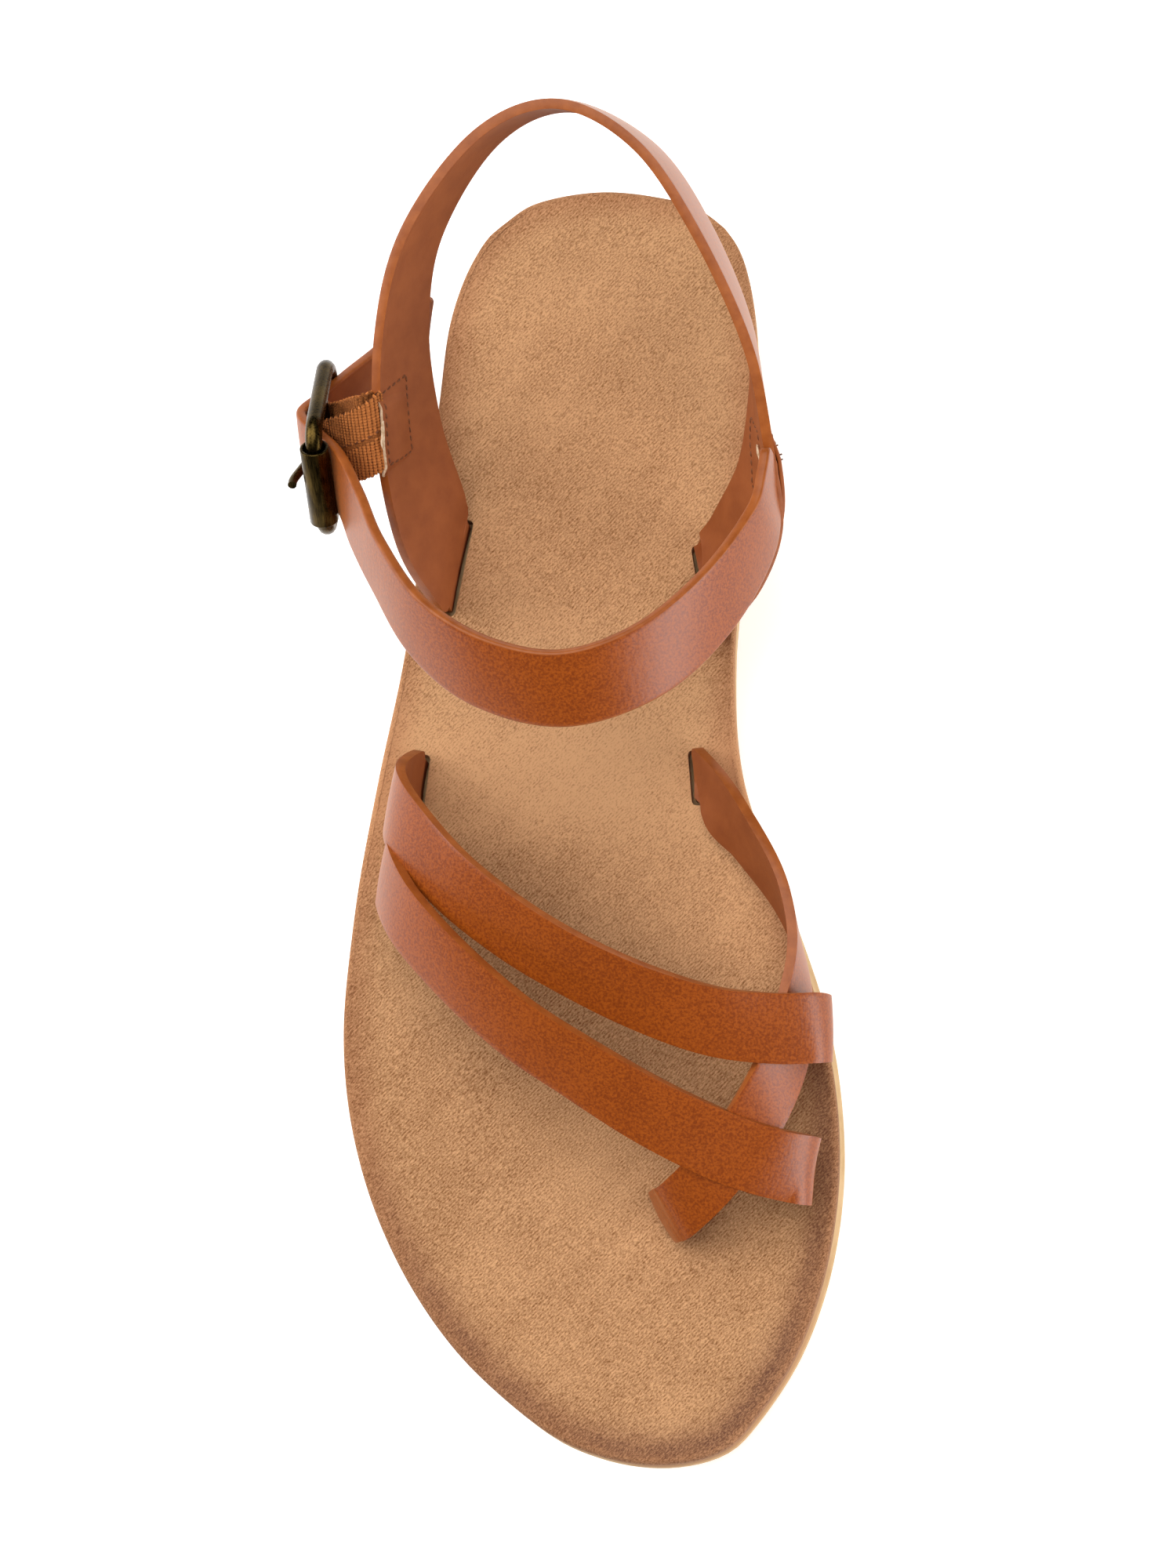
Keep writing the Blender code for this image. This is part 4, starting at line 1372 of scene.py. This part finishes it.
@dataclass
class Seam:
    """A sewn line: waxed stitches end to end between the corners of a path."""

    name: str
    surface: Callable[[float, float], tuple[Vector, Vector]]
    corners: Sequence[tuple[float, float]]
    pitch: float = 1.75
    length: float = 1.45
    thick: float = 0.5
    slant: float = 8.0
    samples: int = 30
    segments: int = 8
    rings: int = 6

    def build(self, palette: Palette, slot: Slot) -> bpy.types.Object:
        """Model one stitch and lay copies of it along the path.

        Args:
            palette: The finishes.
            slot: The material slot of what is sewn, handed on to dress.

        Returns:
            The joined stitches.
        """
        model = self._stitch()
        copies = []
        for place, along, normal in self._places():
            stitch = model.copy()
            stitch.data = model.data.copy()
            turn = Matrix((along, normal.cross(along), normal)).transposed().to_4x4()
            stitch.data.transform(Matrix.Translation(to_world(place)) @ turn)
            bpy.context.scene.collection.objects.link(stitch)
            copies.append(stitch)
        bpy.data.objects.remove(model, do_unlink=True)
        seam = join(self.name, copies)
        smooth_by_angle(seam, YARN_ANGLE)
        dress(seam, [palette.thread], slot)
        return seam

    def _stitch(self) -> bpy.types.Object:
        """Round a stitch, slant it and bend its ends down into their holes."""
        bpy.ops.object.select_all(action="DESELECT")
        bpy.ops.mesh.primitive_uv_sphere_add(
            segments=self.segments, ring_count=self.rings, radius=0.5 * MM, rotation=(0.0, math.pi / 2, 0.0))
        stitch = bpy.context.active_object
        bpy.ops.object.transform_apply(location=False, rotation=True, scale=False)
        slant = math.tan(math.radians(self.slant))
        for vertex in stitch.data.vertices:
            x, y, z = vertex.co
            sag = self.thick * (x / MM) ** 2
            vertex.co = (x * self.length, y * self.thick + x * self.length * slant, z * self.thick - sag * MM)
        return stitch

    def _places(self) -> list[tuple[Vector, Vector, Vector]]:
        """The middle of each stitch, the way it runs and the way its surface looks."""
        places = []
        for (row, share), (next_row, next_share) in zip(self.corners, self.corners[1:]):
            line = []
            for step in range(self.samples + 1):
                t = step / self.samples
                line.append(self.surface(row + (next_row - row) * t, share + (next_share - share) * t))
            lengths = run_lengths([point for point, _ in line])
            count = max(round(lengths[-1] / self.pitch), 1)
            for number in range(count):
                at = (number + 0.5) / count * lengths[-1]
                i = min(int(np.searchsorted(lengths, at, side="right")) - 1, self.samples - 1)
                along = (line[i + 1][0] - line[i][0]).normalized()
                normal = (line[i][1] - along * line[i][1].dot(along)).normalized()
                rest = (at - lengths[i]) / (lengths[i + 1] - lengths[i])
                places.append((line[i][0].lerp(line[i + 1][0], float(rest)), along, normal))
        return places


@dataclass
class RawStrip:
    """A thin torn edge of backing cloth that shows beside a seam."""

    name: str
    surface: Callable[[float, float], tuple[Vector, Vector]]
    rungs: Sequence[tuple[float, float, float]]
    thick: float = 0.3
    steps: int = 8
    across: int = 4
    curl: float = 0.15
    curl_waves: tuple[float, float] = (5.0, 3.0)

    def build(self, palette: Palette) -> bpy.types.Object:
        """Model the strip between its rungs, each a row and its two shares across.

        Args:
            palette: The finishes.

        Returns:
            The strip.
        """
        rungs = []
        for index in range(len(self.rungs) - 1):
            rungs += [between(self.rungs, index, step / self.steps) for step in range(self.steps)]
        rungs.append(list(self.rungs[-1]))
        count = len(rungs) - 1

        def place(u: float, v: float) -> Vector:
            """A point of the strip from its two shares of the grid."""
            row, near, far = rungs[round(u * count)]
            point, normal = self.surface(row, near + (far - near) * v)
            wave = self.curl_waves[0] * u + self.curl_waves[1] * v
            return point + normal * self.curl * math.sin(wave)

        strip = shaped_grid(self.name, count, self.across, place)
        apply_modifier(strip, "SOLIDIFY", thickness=self.thick * MM, offset=0.0)
        smooth_by_angle(strip, LEATHER_ANGLE)
        dress(strip, [palette.backing], Slot.LEATHER)
        return strip


@dataclass
class SewnJoints:
    """Where the heel sling is sewn to the elastic on one side and to the instep strap on the other."""

    sling: Strap
    lining_rows: tuple[float, float] = (2.78, 3.50)
    lining_shares: tuple[float, float] = (-0.05, 0.62)
    lining_ramp: float = 0.15
    lining_thick: float = 0.6
    lining_rise: float = 1.65
    cover_rows: tuple[float, float] = (10.73, 12.5)
    cover_shares: tuple[float, float] = (0.16, 1.0)
    cover_level: float = 0.75
    cover_thick: float = 0.8
    cover_rise: float = 2.05
    elastic_box: tuple = ((2.88, 0.0), (3.52, 0.03), (3.60, 0.52), (2.85, 0.45), (2.88, 0.0))
    instep_box: tuple = (
        (11.95, 0.30), (10.93, 0.36), (10.88, 0.78), (11.25, 0.78), (11.90, 0.63), (11.95, 0.30))
    torn_lining: tuple = ((3.30, -0.045, -0.06), (3.25, -0.045, -0.08), (3.18, -0.045, -0.075),
                          (3.11, -0.045, -0.10), (3.04, -0.045, -0.075), (2.99, -0.045, -0.06))
    torn_joint: tuple = (
        (11.12, 0.475, 0.445), (11.22, 0.47, 0.41), (11.30, 0.45, 0.41), (11.40, 0.43, 0.405))
    thread_ends: tuple = ((11.02, 0.17, 0.35), (11.13, 0.17, 0.45), (11.19, 0.17, 0.35))
    thread_radius: float = 0.16
    thread_lean: float = 0.4
    thread_steps: int = 4
    thread_sides: int = 8

    def build(self, palette: Palette) -> None:
        """Model the plies, the seams through them and what shows of the backing.

        Args:
            palette: The finishes.
        """
        lining = LappedPly("sling_lining_flap", self.sling, self.lining_rows, self.lining_shares, -1,
                           self.lining_rise, self.lining_thick, ramp=self.lining_ramp)
        lining.build([palette.lining, palette.lining, palette.backing])
        cover = LappedPly("sling_outer_ply", self.sling, self.cover_rows, self.cover_shares, 1,
                          self.cover_rise, self.cover_thick, level=self.cover_level)
        # The dark raw edge finish on the outer ply's inner face is painted shade in the gap beneath it
        cover.build([palette.face, palette.raw_edge, palette.edge])
        outer = partial(self._face, STRAP_THICK / 2)
        inner = partial(self._face, -STRAP_THICK / 2)
        for name, surface, box in (("elastic_seam_inside", lining.top, self.elastic_box),
                                   ("elastic_seam_outside", outer, self.elastic_box),
                                   ("instep_seam_inside", inner, self.instep_box),
                                   ("instep_seam_outside", cover.top, self.instep_box)):
            Seam(name, surface, box).build(palette, Slot.LEATHER)
        RawStrip("torn_lining_edge", lining.top, self.torn_lining).build(palette)
        RawStrip("torn_joint_edge", inner, self.torn_joint).build(palette)
        self._loose_threads(palette, cover)

    def _face(self, lift: float, row: float, share: float) -> tuple[Vector, Vector]:
        """A point on one of the sling's faces and the way it looks."""
        point, normal = self.sling.spot(row, share, lift)
        return point, normal * math.copysign(1, lift)

    def _loose_threads(self, palette: Palette, cover: LappedPly) -> None:
        """Leave the cut ends of the seam's thread standing out of the outer ply."""
        ends = []
        for row, share, length in self.thread_ends:
            start, normal = cover.top(row, share)
            lean = (normal + UP * self.thread_lean).normalized() * length / self.thread_steps
            points = [start + lean * step for step in range(-1, self.thread_steps + 1)]
            ends.append(wire("thread_end", points, self.thread_radius, False, self.thread_sides))
        threads = join("loose_thread_ends", ends)
        smooth_by_angle(threads, YARN_ANGLE)
        dress(threads, [palette.thread], Slot.LEATHER)


# Elastic


@dataclass
class ElasticLoop:
    """Ribbed elastic folded round the buckle's centre bar, both ends met at the heel sling's front edge."""

    sling: Strap
    sling_row: float = 3.2
    sling_steps: int = 10
    width: float = 15.5
    thick: float = 0.75
    ply_gap: float = 0.75
    solid_thick: float = 1.0
    knee: float = 5.0
    leg_steps: int = 96
    turn_steps: int = 40
    across: int = 100
    rib_pitch: float = 0.95
    rib_height: float = 0.32
    # rib_sharp, rib_tone, bead_tone and seam_tone set the painted shade between ribs and the painted light on
    # crests and beads
    rib_sharp: float = 1.6
    rib_tone: float = 0.64
    bead_pitch: float = 0.62
    bead_height: float = 0.14
    bead_tone: float = 0.46
    edge_inset: float = 0.25
    edge_swell: float = 0.35
    slot_width: float = 4.2
    slot_steps: int = 16
    outer_slide: float = 0.8
    inner_slide: float = -2.0
    # Painted light that lifts the outer ply out of the shade between the plies
    outer_ply_painted_light: float = 0.35
    seam_at: float = 0.495
    seam_half: float = 0.028
    seam_shift: float = 0.05
    seam_clear: int = 8
    seam_tone: float = 0.45
    tuck: float = 1.6
    tuck_steps: int = 6

    def sections(self) -> list[Section]:
        """Work out the loop: the outer ply, the turn round the bar and the inner ply, both ends tucked in."""
        plain = Strap("plain_sling", self.sling.table, steps=self.sling_steps)
        sling = plain.sections()[round(self.sling_row * plain.steps)]
        forward = sling.across * math.copysign(1, -sling.across.dot(BACK))
        edge = forward.cross(sling.normal)
        edge *= math.copysign(1, edge.dot(BAR))
        hand = math.copysign(1, edge.cross(forward).dot(sling.normal))
        seam = sling.centre + forward * (sling.width / 2 + GAP)
        knee = seam + forward * self.knee
        to_bar = (CENTRE_BAR - knee).normalized()
        seam_spread = (self.solid_thick + self.ply_gap) / 2
        bend = WIRE_RADIUS + GAP + self.solid_thick / 2
        outer, inner = [], []
        normal = sling.normal
        for step in range(self.leg_steps + 1):
            f = step / self.leg_steps
            centre = seam.lerp(knee, f).lerp(knee.lerp(CENTRE_BAR, f), f)
            across = edge.lerp(BAR, f)
            normal = across.cross(forward.lerp(to_bar, f)).normalized() * hand
            offset = normal * (seam_spread + (bend - seam_spread) * f)
            outer.append(Section(centre + offset + BAR * self.outer_slide * f, normal, across, self.width))
            inner.append(Section(centre - offset + BAR * self.inner_slide * f, -normal, across, self.width))
        for ply in (outer, inner):
            for step in range(1, self.tuck_steps + 1):
                back = forward * self.tuck * step / self.tuck_steps
                ply.insert(0, ply[step - 1]._replace(centre=ply[step - 1].centre - back))
        around = normal.cross(BAR)
        around *= math.copysign(1, around.dot(to_bar))
        turn = []
        for step in range(1, self.turn_steps):
            angle = math.pi * step / self.turn_steps
            swing = normal * math.cos(angle) + around * math.sin(angle)
            slide = self.outer_slide + (self.inner_slide - self.outer_slide) * step / self.turn_steps
            turn.append(Section(CENTRE_BAR + swing * bend + BAR * slide, swing, BAR, self.width))
        return [*outer, *turn, *reversed(inner)]

    def build(self, palette: Palette) -> bpy.types.Object:
        """Model the ribs, cut the prong's slot and give the sheet its thickness.

        Args:
            palette: The finishes.

        Returns:
            The elastic.
        """
        frames = self.sections()
        count = len(frames) - 1
        distance = run_lengths([frame.centre for frame in frames])

        def rib(index: int) -> float:
            """How high a section is on its rib, from 0 to 1."""
            return 0.5 + 0.5 * math.cos(2 * math.pi * distance[index] / self.rib_pitch)

        def bead(index: int, v: float) -> float:
            """Height of the beads along a rib, staggered from rib to rib, from -1 to 1."""
            shift = 0.5 * (round(distance[index] / self.rib_pitch) % 2)
            return math.cos(2 * math.pi * (v * self.width / self.bead_pitch + shift))

        def free(index: int, v: float) -> bool:
            """False where the seam presses the inner ply's ribs flat."""
            return index <= count / 2 or abs(v - self.seam_at) >= self.seam_half

        def place(u: float, v: float) -> Vector:
            """A point of the loop from its two shares of the grid."""
            index = round(u * count)
            frame = frames[index]
            swell = rib(index)
            half = frame.width / 2 - self.edge_inset + self.edge_swell * swell
            rise = self.rib_height * (swell - 0.5) + self.bead_height * bead(index, v) * swell
            rise *= free(index, v)
            return frame.centre + frame.across * ((2 * v - 1) * half) + frame.normal * rise

        loop = shaped_grid("ribbed_elastic", count, self.across, place)
        # Painted shade between the ribs, painted light on crests and beads, and painted light over the outer
        # ply
        painted_rib_light = loop.data.attributes.new("painted_rib_light", "FLOAT", "POINT")
        stride = count + 1
        values = []
        for i in range(len(loop.data.vertices)):
            index, v = i % stride, (i // stride) / self.across
            beaded = rib(index) ** self.rib_sharp * (self.rib_tone + self.bead_tone * bead(index, v))
            beaded += self.outer_ply_painted_light * (index < count / 2)
            values.append(min(max(beaded, 0.0), 1.0) if free(index, v) else self.seam_tone)
        painted_rib_light.data.foreach_set("value", values)
        self._cut_slot(loop, frames)
        apply_modifier(loop, "SOLIDIFY", thickness=self.thick * MM, offset=0.0)
        smooth_by_angle(loop, YARN_ANGLE)
        dress(loop, [palette.webbing], Slot.ELASTIC, "elastic_loop")
        first = count - self.tuck_steps - self.seam_clear
        last = round(count / 2 + self.turn_steps / 2) + self.seam_clear
        middle = self.seam_at + self.seam_shift
        sewn = Seam("elastic_fold_seam", partial(self._inner_face, frames), ((first, middle), (last, middle)))
        sewn.build(palette, Slot.ELASTIC)
        return loop

    def _inner_face(self, frames: Sequence[Section], index: float, v: float) -> tuple[Vector, Vector]:
        """A point on the inner ply's ribs and the way it looks."""
        frame = frames[round(index)]
        point = frame.centre + frame.across * ((2 * v - 1) * frame.width / 2)
        return point + frame.normal * (self.thick / 2 + self.rib_height / 4), frame.normal

    def _cut_slot(self, loop: bpy.types.Object, frames: Sequence[Section]) -> None:
        """Delete the faces of the slot that the prong swings in."""
        count = len(frames) - 1
        reach = self.leg_steps + self.tuck_steps - self.slot_steps
        first, last = reach, count - reach
        select_only(loop)
        bpy.ops.object.mode_set(mode="EDIT")
        bpy.ops.mesh.select_mode(type="FACE")
        bpy.ops.mesh.select_all(action="DESELECT")
        bpy.ops.object.mode_set(mode="OBJECT")
        for face in loop.data.polygons:
            column, row = face.index % count, face.index // count
            v = (row + 0.5) / self.across
            aside = (frames[column].centre - CENTRE_BAR).dot(BAR) + (v - 0.5) * self.width
            face.select = first < column < last and abs(aside) < self.slot_width / 2
        bpy.ops.object.mode_set(mode="EDIT")
        bpy.ops.mesh.delete(type="FACE")
        bpy.ops.object.mode_set(mode="OBJECT")


# Buckle


@dataclass
class Buckle:
    """A bent wire frame with a centre bar, a roller on its front bar and a prong on its centre bar."""

    length: float = 26.0
    half_width: float = 12.3
    drop: float = 0.45
    wire_radius: float = 1.72
    corner: float = 4.5
    corner_steps: int = 14
    sides: int = 20
    roller_radius: float = 2.85
    roller_bore: float = 2.25
    roller_length: float = 17.8
    roller_sides: int = 64
    roller_edge: float = 0.18
    roller_sharp: float = 50.0
    prong_radius: float = 0.9
    prong_sides: int = 16
    prong_steps: int = 6
    hole_radius: float = 1.15
    hole_depth: float = 8.0
    hole_sides: int = 24
    hole_at: tuple[float, float] = (2.36, 10.8)
    eye_half_turn: int = 130
    eye_step: int = 10
    prong_path: tuple = ((2.9, 8.6), (4.0, 5.4), (4.9, 3.0), (5.4, 1.2), (5.4, -0.2))

    def build(self, palette: Palette) -> list[bpy.types.Object]:
        """Model the three pieces.

        Args:
            palette: The finishes.

        Returns:
            Frame, roller and prong.
        """
        pieces = [self._frame(), self._roller(), self._prong()]
        for piece, node in zip(pieces, ("buckle_frame", "buckle_roller", "buckle_prong")):
            smooth_by_angle(piece, CRISP_ANGLE)
            dress(piece, [palette.brass], Slot.BRASS, node)
        return pieces

    def _frame(self) -> bpy.types.Object:
        """Bend the frame's wire round four corners and set its centre bar in."""
        middle = ROLLER_CENTRE + BACK * self.length / 2 - BAR * self.drop
        half_back = self.length / 2 - self.corner
        half_bar = self.half_width - self.corner
        points = []
        for quarter, (back, bar) in enumerate(((1, 1), (-1, 1), (-1, -1), (1, -1))):
            turn = middle + BACK * half_back * back + BAR * half_bar * bar
            for step in range(self.corner_steps + 1):
                angle = math.pi / 2 * (quarter + step / self.corner_steps)
                points.append(turn + (BACK * math.cos(angle) + BAR * math.sin(angle)) * self.corner)
        frame = wire("buckle_wire_frame", points, self.wire_radius, True, self.sides)
        ends = [CENTRE_BAR + BAR * (self.half_width * side - self.drop) for side in (-1, 1)]
        bar = wire("centre_bar", ends, WIRE_RADIUS, False, self.sides)
        return join("buckle_wire_frame", [frame, bar])

    def _roller(self) -> bpy.types.Object:
        """Cut a length of thin tube and break its edges."""
        bpy.ops.object.select_all(action="DESELECT")
        bpy.ops.mesh.primitive_cylinder_add(
            vertices=self.roller_sides, radius=self.roller_radius * MM, depth=self.roller_length * MM,
            end_fill_type="NOTHING", location=to_world(ROLLER_CENTRE), rotation=(-BAR_LEAN, 0.0, 0.0))
        roller = bpy.context.active_object
        roller.name = roller.data.name = "buckle_roller_tube"
        bpy.ops.object.transform_apply(location=True, rotation=True, scale=True)
        wall = self.roller_radius - self.roller_bore
        apply_modifier(roller, "SOLIDIFY", thickness=wall * MM, offset=-1.0)
        apply_modifier(roller, "BEVEL", width=self.roller_edge * MM, segments=RIM_STEPS, limit_method="ANGLE",
                       angle_limit=math.radians(self.roller_sharp))
        return roller

    def _prong(self) -> bpy.types.Object:
        """Curl the prong's eye round the centre bar and lead its tip over the roller."""
        eye = WIRE_RADIUS + GAP + self.prong_radius
        points = []
        for turn in range(-self.eye_half_turn, self.eye_half_turn + 1, self.eye_step):
            angle = math.radians(turn)
            points.append(CENTRE_BAR + (OUT * math.sin(angle) + BACK * math.cos(angle)) * eye)
        first = points[-1] - ROLLER_CENTRE
        shank = [(first.dot(OUT), first.dot(BACK)), *self.prong_path]
        for index in range(len(shank) - 1):
            for step in range(1, self.prong_steps + 1):
                out, back = between(shank, index, step / self.prong_steps)
                points.append(ROLLER_CENTRE + OUT * out + BACK * back)
        return wire("buckle_hooked_prong", points, self.prong_radius, False, self.prong_sides)

    def pierce(self, strap: bpy.types.Object, palette: Palette) -> None:
        """Punch the prong's hole through the strap, along the prong.

        Args:
            strap: The strap, dressed.
            palette: The finishes.
        """
        out, back = self.hole_at
        lead = self.prong_path[0]
        axis = (OUT * (lead[0] - out) + BACK * (lead[1] - back)).normalized()
        bpy.ops.object.select_all(action="DESELECT")
        bpy.ops.mesh.primitive_cylinder_add(
            vertices=self.hole_sides, radius=self.hole_radius * MM, depth=self.hole_depth * MM,
            location=to_world(ROLLER_CENTRE + OUT * out + BACK * back),
            rotation=axis.to_track_quat("Z", "Y").to_euler())
        punch = bpy.context.active_object
        punch.data.materials.append(palette.raw_edge)
        apply_modifier(strap, "BOOLEAN", object=punch, operation="DIFFERENCE", solver="EXACT",
                       material_mode="TRANSFER")
        bpy.data.objects.remove(punch, do_unlink=True)


# Studio


class SoftBox(NamedTuple):
    """A soft light: its place and size in metres, how bright its face is, and whether gloss mirrors it."""

    name: str
    at: Vector
    width: float
    height: float
    radiance: float
    mirrored: bool = True


@dataclass
class Studio:
    """Pale floor, soft light and the camera above the shoe."""

    camera_at: Vector = Vector((99.3, -165.0, 944.3))
    target: Vector = Vector((0.0, 0.0, 14.0))
    focal_pixels: float = 5985.0
    picture_height: float = 2000.0
    sensor_mm: float = 36.0
    floor_size: float = 6.0
    floor_colour: str = "#E6E5E4"
    floor_roughness: float = 0.9
    floor_glow: float = 0.55
    room_light: float = 0.07
    soft_boxes: tuple[SoftBox, ...] = (
        SoftBox("heel_soft_box", Vector((-0.25, 0.3, 1.5)), 1.7, 1.7, 3.1),
        SoftBox("overhead_soft_box", Vector((0.2, -0.3, 1.6)), 2.6, 2.6, 0.15, mirrored=False),
        SoftBox("right_soft_box", Vector((0.95, -0.42, 0.18)), 1.0, 0.5, 6.8),
        SoftBox("left_soft_box", Vector((-1.0, 0.2, 0.55)), 0.8, 0.6, 5.0),
    )

    def build(self) -> None:
        """Set the floor, the lights, the camera and the view."""
        self._floor()
        self._light()
        self._camera()
        bpy.context.scene.view_settings.view_transform = "Standard"
        LOG.info("studio set")

    def _floor(self) -> None:
        """Lay a large pale floor under the sole."""
        bpy.ops.object.select_all(action="DESELECT")
        bpy.ops.mesh.primitive_plane_add(size=self.floor_size)
        floor = bpy.context.active_object
        floor.name = floor.data.name = "studio_floor"
        material, _, _ = new_material(
            "white_light_table", {"Base Color": linear(self.floor_colour), "Roughness": self.floor_roughness,
                                  "Emission Color": WHITE, "Emission Strength": self.floor_glow})
        floor.data.materials.append(material)

    def _light(self) -> None:
        """Dim the room and hang the soft boxes, each turned to the shoe."""
        world = bpy.data.worlds.new("dim_room")
        bpy.context.scene.world = world
        world.use_nodes = True
        tree = world.node_tree
        feed(tree, tree.nodes["Background"], {"Color": WHITE, "Strength": self.room_light})
        for box in self.soft_boxes:
            lamp = bpy.data.lights.new(box.name, "AREA")
            lamp.shape = "RECTANGLE"
            lamp.size, lamp.size_y = box.width, box.height
            lamp.energy = box.radiance * math.pi * box.width * box.height
            light = bpy.data.objects.new(box.name, lamp)
            light.location = box.at
            light.rotation_euler = (-box.at).to_track_quat("-Z", "Y").to_euler()
            light.visible_camera = False
            light.visible_glossy = box.mirrored
            bpy.context.scene.collection.objects.link(light)

    def _camera(self) -> None:
        """Place the camera, with the heel towards the picture's top."""
        lens = bpy.data.cameras.new("photo_camera")
        lens.sensor_fit = "VERTICAL"
        lens.sensor_height = self.sensor_mm
        lens.lens = self.focal_pixels / self.picture_height * self.sensor_mm
        camera = bpy.data.objects.new("photo_camera", lens)
        back = (self.camera_at - self.target).normalized()
        heel = Vector((0.0, 1.0, 0.0))
        top = (heel - back * heel.dot(back)).normalized()
        turn = Matrix((top.cross(back), top, back)).transposed()
        camera.matrix_world = Matrix.Translation(to_world(self.camera_at)) @ turn.to_4x4()
        bpy.context.scene.collection.objects.link(camera)
        bpy.context.scene.camera = camera


def main() -> None:
    """Build every piece of the sandal around its solids."""
    logging.basicConfig(level=logging.INFO, format="%(name)s %(message)s")
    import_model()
    palette = Palette.make()
    outline = SoleOutline()
    Outsole(outline).build(palette)
    Footbed(outline).build(palette)
    Strap("rear_diagonal_strap", REAR_DIAGONAL, (True, False)).build(palette, "forefoot_upper")
    Strap("front_diagonal_strap", FRONT_DIAGONAL, (True, False)).build(palette, "forefoot_upper")
    Strap("toe_post_strap", TOE_POST_STRAP, (True, True)).build(palette, "forefoot_upper")
    sling = Strap("heel_sling", HEEL_SLING, (True, True))
    sling.build(palette, "ankle_upper")
    instep = Strap("instep_strap", INSTEP_STRAP, tip_radius=1.5, trim=6)
    buckle = Buckle()
    buckle.pierce(instep.build(palette, "ankle_upper"), palette)
    SewnJoints(sling).build(palette)
    ElasticLoop(sling).build(palette)
    buckle.build(palette)
    Studio().build()


if __name__ == "__main__":
    main()
